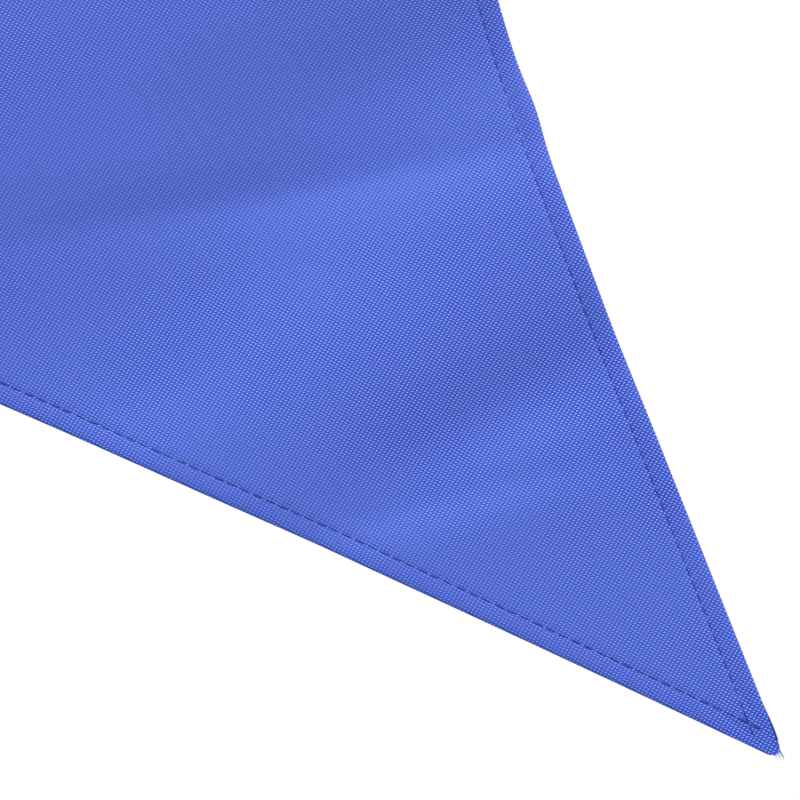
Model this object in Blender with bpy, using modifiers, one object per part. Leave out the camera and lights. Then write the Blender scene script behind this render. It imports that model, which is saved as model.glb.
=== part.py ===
"""Teardrop flag: a pointed blue sail on a bent pole that turns freely on a folding four-leg base.

Run with:  blender --background --python part.py
Units are metres, +Z is up.  The origin is on the floor, on the pole's axis, and the sail lies towards -X.
"""
import math

import bmesh
import bpy
import numpy as np
from mathutils import Matrix, Vector

# ---------------------------------------------------------------- driving dimensions
GAP = 0.0003                 # clearance between two pieces that touch

# sail outline, in the XZ plane
SAIL_THICK = 0.0010          # cloth and its doubled edges, as one plain panel
TIP_OFFSET = 0.180           # lower tip, from the pole's axis
TIP_HEIGHT = 0.420           # lower tip, above the floor
TIP_BLUNT = 0.0025           # width of the folded end of the tip
POLE_SIDE_ANGLE = math.radians(21.75)    # edge nearer the pole, from the vertical, at the tip
POLE_SIDE_STRAIGHT = 0.090               # its straight stretch, from the tip
POLE_SIDE_FLARE = math.radians(11.5)     # how far it then flares towards the pole
POLE_SIDE_FLARE_RUN = 0.240              # the stretch in which it flares
FREE_SIDE_ANGLE = math.radians(21.75)    # outer edge, from the vertical, at the tip
FREE_SIDE_FLARE = math.radians(1.7)
FREE_SIDE_FLARE_RUN = 0.260
FREE_SIDE_LENGTH = 1.450                 # outer edge, from the tip to the end of the sleeve
EDGE_STEP = 0.020                        # spacing of outline points on a curved edge

# pole, from the rotor's flange to its end in the sleeve
SECTION_WALL = (0.0017, 0.0017, 0.0012)            # the last section is a solid rod
FIRST_JOINT_DROP = 0.055                           # top of the first section, below the sleeve's mouth
SECTION_REACH = (0.570, 0.800)                     # from one joint of the pole up to the next
PLUG_LENGTH = 0.060                                # how far a section sits in the one below
FERRULE_LENGTH = 0.045
FERRULE_WALL = 0.0010
POLE_STEP = 0.040                                  # spacing of the points of the bent pole
TUBE_RESOLUTION = 4
TIP_CAP_WALL = 0.0014
TIP_CAP_LENGTH = 0.018

# sleeve along the pole's edge of the sail
SLEEVE_EASE = 0.0012                               # room between the sleeve and the ferrule inside it
SLEEVE_WALL = 0.0010
POCKET_LENGTH = 0.070                              # reinforced end of the sleeve
POCKET_WALL = 0.0013
POCKET_END = 0.006                                 # cloth beyond the pole's tip cap

# corner tab, grommet and elastic cord
TAB_WIDTH = 0.018
TAB_STANDOFF = 0.0030                              # tab's near edge, from the sleeve
TAB_CORE = 0.0030                                  # thickness of the tab below the sail
TAB_CLOTH = 0.0014                                 # thickness of each leaf over the sail
TAB_RISE = 0.015                                   # leaves above the sleeve's mouth
TAB_CROTCH = 0.046                                 # crotch between the leaves, below the mouth
TAB_DROP = 0.084                                   # tab's lower end, below the mouth
GROMMET_BORE = 0.0040
GROMMET_RIM = 0.0078
GROMMET_WALL = 0.0010
GROMMET_FROM_END = 0.014                           # centre, from the tab's lower end
CORD_RADIUS = 0.00175
CORD_DROP = 0.151                                  # centre of the collar's horn, below the tab's end
COLLAR_LENGTH = 0.018
COLLAR_WALL = 0.0035
HORN_RADIUS = 0.0030
HORN_FLANGE = 0.0065
HORN_FLANGE_THICK = 0.0025
SCREW_RADIUS = 0.0020
SCREW_HEAD_RADIUS = 0.0038
SCREW_HEAD = 0.0026

# spindle
PIN_RADIUS = 0.0050
PIN_HEAD_RADIUS = 0.0090
PIN_HEAD = 0.0055
NUT_RADIUS = 0.0095
NUT_HEIGHT = 0.0075
WASHER_RADIUS = 0.0120
WASHER_THICK = 0.0020
ROTOR_LENGTH = 0.130
ROTOR_WALL = 0.0010
ROTOR_RIM = 0.0050                                 # flange, past the rotor's tube
ROTOR_FLANGE = 0.0050
BUSH_WALL = 0.0009
BUSH_LENGTH = 0.022
CLIP_THICK = 0.0012
CLIP_GROOVE = 0.0008                               # depth of the clip's groove in the pin
CLIP_MOUTH = math.radians(50)
CLIP_LAND = 0.0010                                 # metal above the clip's groove
PIN_CHAMFER = 0.0006

# base
HUB_BOTTOM = 0.010
HUB_ARM_END = 0.016                                # metal beyond a leg's pivot
HUB_ARM_WIDTH = 0.034
HUB_CEILING = 0.0080                               # metal above the legs' slots
HUB_BOSS_RADIUS = 0.0175
HUB_BOSS = 0.0080
HUB_EDGE = 0.0016                                  # rounding of the hub's edges
PAD_RADIUS = 0.0150
PIVOT_RADIUS = 0.036                               # leg pivots, from the spindle's axis
SLOT_ROOM = 0.003                                  # room behind a leg's round root
LEG_THICK = 0.008
LEG_ROOT_HEIGHT = 0.026
LEG_END_HEIGHT = 0.018
LEG_UNDERSIDE = 0.012                              # above the floor
LEG_REACH = 0.400                                  # end of a leg, from the spindle's axis
LEG_CORNER = 0.004
LEG_EDGE = 0.0007                                  # rounding of a leg's long edges
BOLT_RADIUS = 0.0038
BOLT_HEAD_RADIUS = 0.0066
BOLT_HEAD = 0.0042
BOLT_NUT = 0.0052
FOOT_LENGTH = 0.044
FOOT_COVER = 0.036                                 # length of leg inside the foot
FOOT_WIDTH = 0.016
FOOT_TOP_WALL = 0.0030
FOOT_EDGE = 0.0015
LEG_COUNT = 4

RING_STEPS = 32
HEX = 6

# ---------------------------------------------------------------- derived sizes
LEG_CENTRE = LEG_UNDERSIDE + LEG_ROOT_HEIGHT / 2
SLOT_CEILING = LEG_UNDERSIDE + LEG_ROOT_HEIGHT + GAP
HUB_TOP = SLOT_CEILING + HUB_CEILING
BOSS_TOP = HUB_TOP + HUB_BOSS
NUT_BASE = BOSS_TOP + GAP
WASHER_BASE = NUT_BASE + NUT_HEIGHT + GAP
ROTOR_BASE = WASHER_BASE + WASHER_THICK + GAP
ROTOR_TOP = ROTOR_BASE + ROTOR_LENGTH
BUSH_BORE = PIN_RADIUS + GAP
BUSH_RADIUS = BUSH_BORE + BUSH_WALL
ROTOR_BORE = BUSH_RADIUS + GAP
ROTOR_RADIUS = ROTOR_BORE + ROTOR_WALL
ROTOR_FLANGE_RADIUS = ROTOR_RADIUS + ROTOR_RIM
POLE_FOOT = ROTOR_BASE + ROTOR_FLANGE + GAP
HUB_ARM_REACH = PIVOT_RADIUS + HUB_ARM_END
SLOT_ROOT = PIVOT_RADIUS - LEG_ROOT_HEIGHT / 2 - SLOT_ROOM


def section_sizes():
    """Radius and bore of each pole section: each fits inside the one below, the first over the rotor."""
    radii, bores = [], []
    bore = ROTOR_RADIUS + GAP
    for i, wall in enumerate(SECTION_WALL):
        radii.append(bore + wall if i == 0 else bore - GAP)
        bores.append(bore if i == 0 else radii[i] - wall)
        bore = bores[i]
    return [*radii, bore - GAP], [*bores, None]


SECTION_RADIUS, SECTION_BORE = section_sizes()
SLEEVE_RADIUS = SECTION_RADIUS[1] + GAP + FERRULE_WALL + SLEEVE_EASE + SLEEVE_WALL
SAIL_STANDOFF = SLEEVE_RADIUS + GAP
PANEL_OFFSET = SLEEVE_RADIUS - SLEEVE_WALL + POCKET_WALL + GAP


# ---------------------------------------------------------------- scene and helpers
def clear_scene():
    for obj in list(bpy.context.scene.objects):
        bpy.data.objects.remove(obj, do_unlink=True)


def new_collection(name):
    collection = bpy.data.collections.new(name)
    bpy.context.scene.collection.children.link(collection)
    return collection


def material(name, colour, roughness, metallic=0.0):
    mat = bpy.data.materials.new(name)
    mat.use_nodes = True
    shader = mat.node_tree.nodes["Principled BSDF"]
    shader.inputs["Base Color"].default_value = (*colour, 1.0)
    shader.inputs["Roughness"].default_value = roughness
    shader.inputs["Metallic"].default_value = metallic
    return mat


def add_object(name, data, collection, mat=None, parent=None):
    obj = bpy.data.objects.new(name, data)
    collection.objects.link(obj)
    if mat is not None and not data.materials:
        data.materials.append(mat)
    if parent is not None:
        obj.parent = parent
        obj.matrix_parent_inverse = parent.matrix_world.inverted()
    return obj


def add_empty(name, collection, location, turn=0.0):
    empty = bpy.data.objects.new(name, None)
    collection.objects.link(empty)
    empty.location = location
    empty.rotation_euler = (0.0, 0.0, turn)
    bpy.context.view_layer.update()
    return empty


def mesh_from(name, bm):
    bmesh.ops.recalc_face_normals(bm, faces=bm.faces)
    mesh = bpy.data.meshes.new(name)
    bm.to_mesh(mesh)
    bm.free()
    return mesh


def box_mesh(name, low, high):
    """A box between two corners."""
    bm = bmesh.new()
    bmesh.ops.create_cube(bm, size=1.0)
    size = [b - a for a, b in zip(low, high)]
    middle = [(a + b) / 2 for a, b in zip(low, high)]
    bmesh.ops.scale(bm, verts=bm.verts, vec=size)
    bmesh.ops.translate(bm, verts=bm.verts, vec=middle)
    return mesh_from(name, bm)


def rod_mesh(name, radius, start, end, sides=RING_STEPS, phase=0.0):
    """A straight rod between two points."""
    start, end = Vector(start), Vector(end)
    run = end - start
    place = Matrix.Translation((start + end) / 2) @ run.to_track_quat("Z", "Y").to_matrix().to_4x4()
    bm = bmesh.new()
    bmesh.ops.create_cone(bm, cap_ends=True, segments=sides, radius1=radius, radius2=radius,
                          depth=run.length, matrix=place @ Matrix.Rotation(phase, 4, "Z"))
    return mesh_from(name, bm)


def turned(name, profile, collection, mat, parent=None, angle=2 * math.pi, steps=RING_STEPS):
    """A turned piece.  The profile is (radius, height), and runs down the outer side."""
    bm = bmesh.new()
    verts = [bm.verts.new((r, 0.0, z)) for r, z in profile]
    on_axis = profile[0][0] == 0.0 and profile[-1][0] == 0.0
    pairs = list(zip(verts, verts[1:]))
    if not on_axis:
        pairs.append((verts[-1], verts[0]))
    for a, b in pairs:
        bm.edges.new((a, b))
    mesh = bpy.data.meshes.new(name)
    bm.to_mesh(mesh)
    bm.free()
    obj = add_object(name, mesh, collection, mat, parent)
    screw = obj.modifiers.new("turn", "SCREW")
    screw.angle = angle
    screw.steps = screw.render_steps = steps
    screw.use_merge_vertices = True
    screw.merge_threshold = 0.00001
    return obj


def ring_profile(inner, outer, low, high):
    return [(outer, high), (outer, low), (inner, low), (inner, high)]


def plate(name, outline, thickness, collection, mat, parent=None):
    """A flat piece in the XZ plane, from its outline (x, z), centred on y = 0."""
    curve = bpy.data.curves.new(name, "CURVE")
    curve.dimensions = "2D"
    curve.fill_mode = "BOTH"
    curve.extrude = thickness / 2
    spline = curve.splines.new("POLY")
    spline.points.add(len(outline) - 1)
    for point, (x, z) in zip(spline.points, outline):
        point.co = (x, z, 0.0, 1.0)
    spline.use_cyclic_u = True
    obj = add_object(name, curve, collection, mat, parent)
    obj.rotation_euler.x = math.radians(90)
    return obj


def tube(name, points, radius, collection, mat, parent=None, wall=None, cyclic=False):
    """A rod along the points, or a tube with the given wall."""
    curve = bpy.data.curves.new(name, "CURVE")
    curve.dimensions = "3D"
    curve.bevel_depth = radius
    curve.bevel_resolution = TUBE_RESOLUTION
    curve.use_fill_caps = wall is None and not cyclic
    spline = curve.splines.new("POLY")
    spline.points.add(len(points) - 1)
    for point, co in zip(spline.points, points):
        point.co = (*co, 1.0)
    spline.use_cyclic_u = cyclic
    obj = add_object(name, curve, collection, mat, parent)
    if wall is not None:
        skin = obj.modifiers.new("wall", "SOLIDIFY")
        skin.thickness = wall
        skin.offset = -1.0
    return obj


def as_mesh(obj):
    """Turns a curve object into a mesh object with its end caps welded."""
    bpy.context.view_layer.update()
    evaluated = obj.evaluated_get(bpy.context.evaluated_depsgraph_get())
    mesh = bpy.data.meshes.new_from_object(evaluated)
    bm = bmesh.new()
    bm.from_mesh(mesh)
    bmesh.ops.remove_doubles(bm, verts=bm.verts, dist=0.000001)
    bm.to_mesh(mesh)
    bm.free()
    name, place, parent = obj.name, obj.matrix_world.copy(), obj.parent
    collection = obj.users_collection[0]
    bpy.data.objects.remove(obj, do_unlink=True)
    solid = add_object(name, mesh, collection, None, parent)
    solid.matrix_world = place
    return solid


def cutter(name, mesh):
    obj = add_object(name, mesh, CUTTERS)
    obj.hide_render = True
    obj.display_type = "WIRE"
    return obj


def combine(obj, other, operation):
    step = obj.modifiers.new(other.name, "BOOLEAN")
    step.operation = operation
    step.object = other
    step.solver = "EXACT"
    return step


def soften(obj, width, segments=2, angle=math.radians(40)):
    bevel = obj.modifiers.new("edges", "BEVEL")
    bevel.width = width
    bevel.segments = segments
    bevel.limit_method = "ANGLE"
    bevel.angle_limit = angle
    return bevel


# ---------------------------------------------------------------- outline and pole path
def smooth(t):
    """0 before t = 0, 1 after t = 1, and an even turn between."""
    t = min(max(t, 0.0), 1.0)
    return t * t * (3.0 - 2.0 * t)


def pole_side_angle(s):
    """The pole-side edge's angle from the vertical, at a distance s from the tip."""
    return POLE_SIDE_ANGLE + POLE_SIDE_FLARE * smooth((s - POLE_SIDE_STRAIGHT) / POLE_SIDE_FLARE_RUN)


def free_side_angle(s):
    """The outer edge's angle from the vertical, at a distance s from the tip."""
    return FREE_SIDE_ANGLE + FREE_SIDE_FLARE * smooth(s / FREE_SIDE_FLARE_RUN)


def walk_edge(angle_at, side, stop):
    """Points of an edge from the tip: side is +1 towards the pole, and stop(x, s) ends the walk."""
    fine = EDGE_STEP / 20
    x, z, s = -TIP_OFFSET + side * TIP_BLUNT / 2, TIP_HEIGHT, 0.0
    points = [(x, z)]
    count = 0
    while not stop(x, s):
        angle = angle_at(s + fine / 2)
        x += side * fine * math.sin(angle)
        z += fine * math.cos(angle)
        s += fine
        count += 1
        if count % 20 == 0:
            points.append((x, z))
    if math.dist(points[-1], (x, z)) > fine:
        points.append((x, z))
    return points


def pole_side_edge():
    """From the tip to the sleeve's mouth."""
    points = walk_edge(pole_side_angle, 1, lambda x, s: x >= -SAIL_STANDOFF)
    points[-1] = (-SAIL_STANDOFF, points[-1][1])
    return points


def free_side_edge():
    """From the tip to the end of the sleeve."""
    return walk_edge(free_side_angle, -1, lambda x, s: s >= FREE_SIDE_LENGTH - 1e-9)


MOUTH_HEIGHT = pole_side_edge()[-1][1]
FIRST_JOINT = MOUTH_HEIGHT - FIRST_JOINT_DROP
SECTION_TOP = (FIRST_JOINT, FIRST_JOINT + SECTION_REACH[0], FIRST_JOINT + sum(SECTION_REACH))


def bend_heading(t):
    """The bent pole's heading, from straight up, at a share t of the bend's length."""
    return (math.pi + free_side_angle(FREE_SIDE_LENGTH)) * smooth(t)


def pole_nodes():
    """The pole's centre line: distances along it, and points, one every POLE_STEP in the bend."""
    end_angle = free_side_angle(FREE_SIDE_LENGTH)
    x_edge, z_edge = free_side_edge()[-1]
    across = SLEEVE_RADIUS - SLEEVE_WALL + POCKET_WALL
    beyond = TIP_CAP_WALL + GAP + POCKET_END
    x_end = x_edge + across * math.cos(end_angle) - beyond * math.sin(end_angle)
    z_end = z_edge + across * math.sin(end_angle) + beyond * math.cos(end_angle)
    shares = np.linspace(0.0, 1.0, 2001)
    middles = (shares[1:] + shares[:-1]) / 2
    headings = np.array([bend_heading(t) for t in middles])
    sideways = np.concatenate([[0.0], np.cumsum(np.sin(headings))]) / len(middles)
    upwards = np.concatenate([[0.0], np.cumsum(np.cos(headings))]) / len(middles)
    length = -x_end / sideways[-1]
    start = z_end - length * upwards[-1]
    count = round(length / POLE_STEP)
    picks = np.linspace(0.0, 1.0, count + 1)
    distances = [POLE_FOOT] + [start + length * t for t in picks]
    xs = [0.0] + list(-length * np.interp(picks, shares, sideways))
    zs = [POLE_FOOT] + list(start + length * np.interp(picks, shares, upwards))
    return np.array(distances), np.array(xs), np.array(zs)


POLE_S, POLE_X, POLE_Z = pole_nodes()
POLE_END = float(POLE_S[-1])


def pole_point(s):
    """A point of the pole's centre line; past its end the line goes on straight."""
    if s <= POLE_END:
        return float(np.interp(s, POLE_S, POLE_X)), float(np.interp(s, POLE_S, POLE_Z))
    dx, dz = pole_heading(POLE_END)
    return POLE_X[-1] + dx * (s - POLE_END), POLE_Z[-1] + dz * (s - POLE_END)


def pole_heading(s):
    """The unit heading of the chord at s."""
    i = int(np.clip(np.searchsorted(POLE_S, s) - 1, 0, len(POLE_S) - 2))
    run = Vector((POLE_X[i + 1] - POLE_X[i], POLE_Z[i + 1] - POLE_Z[i])).normalized()
    return run.x, run.y


def pole_run(start, end):
    """The pole's centre line between two distances, as 3-D points."""
    inner = [s for s in POLE_S if start + 1e-6 < s < end - 1e-6]
    return [(x, 0.0, z) for x, z in (pole_point(s) for s in [start, *inner, end])]


def beside_pole(s, offset):
    """A point beside the pole, on the sail's side for a positive offset."""
    i = int(np.clip(np.searchsorted(POLE_S, s), 1, len(POLE_S) - 1))
    ahead, behind = pole_heading(POLE_S[i] - 1e-6), pole_heading(s + 1e-6)
    run = Vector((ahead[0] + behind[0], ahead[1] + behind[1])).normalized()
    x, z = pole_point(s)
    return x - run.y * offset, z + run.x * offset


# ---------------------------------------------------------------- sail
def sail_outline():
    """Round the panel: up the pole-side edge, along the sleeve, across its end, down the free edge."""
    outline = pole_side_edge()
    along = [s for s in POLE_S if s > MOUTH_HEIGHT + POLE_STEP / 2]
    outline += [beside_pole(s, PANEL_OFFSET) for s in along]
    end = POLE_END + TIP_CAP_WALL + GAP + POCKET_END + GAP
    outline.append(beside_pole(end, PANEL_OFFSET))
    outline.append(beside_pole(end, -PANEL_OFFSET + GAP))
    outline += list(reversed(free_side_edge()[:-1]))
    return outline


def make_sail(parent):
    sail = plate("sail_panel", sail_outline(), SAIL_THICK, PARTS, SAIL_CLOTH, parent)
    as_mesh(sail)
    pocket_start = POLE_END - POCKET_LENGTH
    tube("pole_sleeve", pole_run(MOUTH_HEIGHT, pocket_start - GAP), SLEEVE_RADIUS,
         PARTS, SLEEVE_CLOTH, parent, wall=SLEEVE_WALL)
    pocket_radius = SLEEVE_RADIUS - SLEEVE_WALL + POCKET_WALL
    inside_end = POLE_END + TIP_CAP_WALL + GAP
    pocket = tube("sleeve_end_pocket", pole_run(pocket_start, inside_end + POCKET_END),
                  pocket_radius, PARTS, WEBBING, parent)
    pocket = as_mesh(pocket)
    hollow = tube("pocket_hollow", pole_run(pocket_start - SLEEVE_RADIUS, inside_end + POCKET_END / 2),
                  pocket_radius - POCKET_WALL, CUTTERS, None)
    hollow = as_mesh(hollow)
    hollow.hide_render = True
    hollow.display_type = "WIRE"
    combine(pocket, hollow, "DIFFERENCE")


# ---------------------------------------------------------------- pole
def make_pole(parent):
    bottoms = [POLE_FOOT] + [top - PLUG_LENGTH for top in SECTION_TOP]
    tops = [*SECTION_TOP, POLE_END]
    for i, (low, high) in enumerate(zip(bottoms, tops)):
        radius, bore = SECTION_RADIUS[i], SECTION_BORE[i]
        wall = None if bore is None else radius - bore
        mat = POLE_ALLOY if i == 0 else POLE_GLASS_FIBRE
        tube(f"pole_section_{i + 1}", pole_run(low, high), radius, PARTS, mat, parent, wall=wall)
    for i, top in enumerate(SECTION_TOP):
        radius = SECTION_RADIUS[i] + GAP + FERRULE_WALL
        tube(f"ferrule_{i + 1}", pole_run(top - FERRULE_LENGTH, top), radius,
             PARTS, FERRULE_STEEL, parent, wall=FERRULE_WALL)
    make_tip_cap(parent)


def make_tip_cap(parent):
    radius = SECTION_RADIUS[3] + GAP + TIP_CAP_WALL
    start = POLE_END - TIP_CAP_LENGTH
    cap = as_mesh(tube("pole_tip_cap", pole_run(start, POLE_END + TIP_CAP_WALL), radius,
                       PARTS, BLACK_RUBBER, parent))
    hollow = as_mesh(tube("tip_cap_hollow", pole_run(start - TIP_CAP_LENGTH, POLE_END + GAP),
                          radius - TIP_CAP_WALL, CUTTERS, None))
    hollow.hide_render = True
    hollow.display_type = "WIRE"
    combine(cap, hollow, "DIFFERENCE")


# ---------------------------------------------------------------- corner tab, cord and collar
TAB_X = -(SLEEVE_RADIUS + TAB_STANDOFF + TAB_WIDTH / 2)
GROMMET_FACE = TAB_CORE / 2 + GAP + GROMMET_WALL
TAB_END = MOUTH_HEIGHT - TAB_DROP
GROMMET_HEIGHT = TAB_END + GROMMET_FROM_END
COLLAR_HEIGHT = TAB_END - CORD_DROP
HORN_LENGTH = -TAB_X - SECTION_RADIUS[0] + CORD_RADIUS + 2 * GAP + HORN_FLANGE_THICK


def make_tab(parent):
    """A folded webbing tab: a doubled end with the grommet, and a leaf over each face of the sail."""
    core = TAB_CORE / 2
    near = SAIL_THICK / 2 + GAP
    far = near + TAB_CLOTH
    crotch = MOUTH_HEIGHT - TAB_CROTCH
    top = MOUTH_HEIGHT + TAB_RISE
    half = [(core, TAB_END), (core, crotch - 0.004), (far, crotch), (far, top), (near, top), (near, crotch)]
    outline = half + [(-y, z) for y, z in reversed(half)]
    tab = plate("tension_tab", outline, TAB_WIDTH, PARTS, WEBBING, parent)
    tab.rotation_euler.z = math.radians(90)
    tab.location.x = TAB_X
    tab = as_mesh(tab)
    reach = TAB_CORE
    barrel = GROMMET_BORE + GROMMET_WALL
    hole = rod_mesh("tab_hole", barrel + GAP, (TAB_X, -reach, GROMMET_HEIGHT), (TAB_X, reach, GROMMET_HEIGHT))
    combine(tab, cutter("tab_hole", hole), "DIFFERENCE")
    side = core + GAP
    profile = [(GROMMET_RIM, GROMMET_FACE), (GROMMET_RIM, side), (barrel, side), (barrel, -side),
               (GROMMET_RIM, -side), (GROMMET_RIM, -GROMMET_FACE), (GROMMET_BORE, -GROMMET_FACE),
               (GROMMET_BORE, GROMMET_FACE)]
    grommet = turned("tab_grommet", profile, PARTS, BRASS, parent)
    grommet.location = (TAB_X, 0.0, GROMMET_HEIGHT)
    grommet.rotation_euler.x = math.radians(90)


def make_cord(parent):
    """A closed elastic loop, through the grommet and down round the collar's horn."""
    inside = max(HORN_RADIUS, GROMMET_FACE) + GAP
    half = inside + CORD_RADIUS
    turns = [math.pi * k / 12 for k in range(13)]
    low_centre = COLLAR_HEIGHT + inside - HORN_RADIUS - GAP
    low = [(TAB_X, half * math.cos(a), low_centre - half * math.sin(a)) for a in turns]
    high_centre = GROMMET_HEIGHT - GROMMET_BORE - math.sqrt((inside - GAP / 2) ** 2 - GROMMET_FACE ** 2)
    high = [(TAB_X, -half * math.cos(a), high_centre + half * math.sin(a)) for a in turns]
    tube("tension_cord", low + high, CORD_RADIUS, PARTS, ELASTIC, parent, cyclic=True)


def make_collar(parent):
    bore = SECTION_RADIUS[0] + GAP
    outer = bore + COLLAR_WALL
    half = COLLAR_LENGTH / 2
    profile = ring_profile(bore, outer, COLLAR_HEIGHT - half, COLLAR_HEIGHT + half)
    collar = turned("cord_collar", profile, PARTS, BLACK_NYLON, parent)
    middle = bore + COLLAR_WALL / 2
    horn_end = -SECTION_RADIUS[0] - HORN_LENGTH
    horn = rod_mesh("horn", HORN_RADIUS, (-middle, 0, COLLAR_HEIGHT), (horn_end, 0, COLLAR_HEIGHT))
    combine(collar, cutter("horn", horn), "UNION")
    flange_start = horn_end + HORN_FLANGE_THICK
    flange = rod_mesh("horn_flange", HORN_FLANGE, (flange_start, 0, COLLAR_HEIGHT),
                      (horn_end, 0, COLLAR_HEIGHT))
    combine(collar, cutter("horn_flange", flange), "UNION")
    hole = rod_mesh("screw_hole", SCREW_RADIUS + GAP, (bore - GAP, 0, COLLAR_HEIGHT),
                    (outer + SCREW_HEAD, 0, COLLAR_HEIGHT), sides=16)
    combine(collar, cutter("screw_hole", hole), "DIFFERENCE")
    screw_profile = [(0.0, outer + GAP + SCREW_HEAD), (SCREW_HEAD_RADIUS, outer + GAP + SCREW_HEAD),
                     (SCREW_HEAD_RADIUS, outer + GAP), (SCREW_RADIUS, outer + GAP),
                     (SCREW_RADIUS, bore), (0.0, bore)]
    screw = turned("collar_screw", screw_profile, PARTS, ZINC_STEEL, parent, steps=16)
    screw.location.z = COLLAR_HEIGHT
    screw.rotation_euler.y = math.radians(90)


# ---------------------------------------------------------------- spindle
CLIP_BASE = ROTOR_TOP - 2 * CLIP_THICK
GROOVE_LOW = CLIP_BASE - GAP
GROOVE_HIGH = CLIP_BASE + CLIP_THICK + GAP
PIN_TOP = GROOVE_HIGH + CLIP_LAND + PIN_CHAMFER


def make_spindle(parent):
    head_base = HUB_BOTTOM + GAP
    head_top = head_base + PIN_HEAD
    groove = PIN_RADIUS - CLIP_GROOVE
    profile = [(0.0, PIN_TOP), (PIN_RADIUS - PIN_CHAMFER, PIN_TOP), (PIN_RADIUS, PIN_TOP - PIN_CHAMFER),
               (PIN_RADIUS, GROOVE_HIGH), (groove, GROOVE_HIGH), (groove, GROOVE_LOW),
               (PIN_RADIUS, GROOVE_LOW), (PIN_RADIUS, head_top), (PIN_HEAD_RADIUS, head_top),
               (PIN_HEAD_RADIUS, head_base), (0.0, head_base)]
    turned("spindle_pin", profile, PARTS, ZINC_STEEL, parent)
    nut = rod_mesh("spindle_nut", NUT_RADIUS, (0, 0, NUT_BASE), (0, 0, NUT_BASE + NUT_HEIGHT), sides=HEX)
    nut = add_object("spindle_nut", nut, PARTS, ZINC_STEEL, parent)
    bore = rod_mesh("nut_bore", PIN_RADIUS + GAP, (0, 0, NUT_BASE - GAP), (0, 0, NUT_BASE + NUT_HEIGHT + GAP))
    combine(nut, cutter("nut_bore", bore), "DIFFERENCE")
    washer = ring_profile(PIN_RADIUS + GAP, WASHER_RADIUS, WASHER_BASE, WASHER_BASE + WASHER_THICK)
    turned("thrust_washer", washer, PARTS, WHITE_NYLON, parent)
    ring = ring_profile(groove + GAP, BUSH_RADIUS, CLIP_BASE, CLIP_BASE + CLIP_THICK)
    clip = turned("retaining_clip", ring, PARTS, ZINC_STEEL, parent, angle=2 * math.pi - CLIP_MOUTH, steps=24)
    close_ends(clip)


def close_ends(obj):
    """Closes the two open ends of a ring that doesn't go all the way round."""
    bpy.context.view_layer.update()
    evaluated = obj.evaluated_get(bpy.context.evaluated_depsgraph_get())
    mesh = bpy.data.meshes.new_from_object(evaluated)
    bm = bmesh.new()
    bm.from_mesh(mesh)
    bmesh.ops.holes_fill(bm, edges=[e for e in bm.edges if e.is_boundary], sides=0)
    bmesh.ops.recalc_face_normals(bm, faces=bm.faces)
    bm.to_mesh(mesh)
    bm.free()
    obj.modifiers.clear()
    obj.data = mesh


def make_rotor(parent):
    flange_top = ROTOR_BASE + ROTOR_FLANGE
    profile = [(ROTOR_RADIUS, ROTOR_TOP), (ROTOR_RADIUS, flange_top), (ROTOR_FLANGE_RADIUS, flange_top),
               (ROTOR_FLANGE_RADIUS, ROTOR_BASE), (ROTOR_BORE, ROTOR_BASE), (ROTOR_BORE, ROTOR_TOP)]
    turned("rotor_tube", profile, PARTS, ZINC_STEEL, parent)
    low = ROTOR_BASE + GAP
    high = CLIP_BASE - GAP - BUSH_LENGTH
    for name, base in (("lower_bush", low), ("upper_bush", high)):
        ring = ring_profile(BUSH_BORE, BUSH_RADIUS, base, base + BUSH_LENGTH)
        turned(name, ring, PARTS, WHITE_NYLON, parent)


# ---------------------------------------------------------------- base
def make_hub():
    half = HUB_ARM_WIDTH / 2
    arm = box_mesh("hub", (-HUB_ARM_REACH, -half, HUB_BOTTOM), (HUB_ARM_REACH, half, HUB_TOP))
    hub = add_object("hub", arm, PARTS, BLACK_STEEL)
    cross = box_mesh("cross_arm", (-half, -HUB_ARM_REACH, HUB_BOTTOM), (half, HUB_ARM_REACH, HUB_TOP))
    combine(hub, cutter("cross_arm", cross), "UNION")
    boss = rod_mesh("boss", HUB_BOSS_RADIUS, (0, 0, HUB_BOTTOM + HUB_BOSS), (0, 0, BOSS_TOP))
    combine(hub, cutter("boss", boss), "UNION")
    soften(hub, HUB_EDGE)
    slot_half = LEG_THICK / 2 + GAP
    beyond = HUB_ARM_REACH + HUB_BOSS
    bolt_end = half + HUB_BOSS
    for i in range(LEG_COUNT):
        turn = Matrix.Rotation(i * 2 * math.pi / LEG_COUNT, 4, "Z")
        slot = box_mesh("leg_slot", (SLOT_ROOT, -slot_half, 0.0), (beyond, slot_half, SLOT_CEILING))
        slot.transform(turn)
        combine(hub, cutter(f"leg_slot_{i + 1}", slot), "DIFFERENCE")
        hole = rod_mesh("bolt_hole", BOLT_RADIUS + GAP, (PIVOT_RADIUS, -bolt_end, LEG_CENTRE),
                        (PIVOT_RADIUS, bolt_end, LEG_CENTRE), sides=24)
        hole.transform(turn)
        combine(hub, cutter(f"bolt_hole_{i + 1}", hole), "DIFFERENCE")
    bore = rod_mesh("pin_bore", PIN_RADIUS + GAP, (0, 0, 0), (0, 0, BOSS_TOP + GAP))
    combine(hub, cutter("pin_bore", bore), "DIFFERENCE")
    recess_top = HUB_BOTTOM + GAP + PIN_HEAD + GAP
    recess = rod_mesh("head_recess", PIN_HEAD_RADIUS + GAP, (0, 0, 0), (0, 0, recess_top))
    combine(hub, cutter("head_recess", recess), "DIFFERENCE")
    turned("hub_pad", [(0.0, HUB_BOTTOM - GAP), (PAD_RADIUS, HUB_BOTTOM - GAP), (PAD_RADIUS, 0.0), (0.0, 0.0)],
           PARTS, BLACK_RUBBER)


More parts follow.
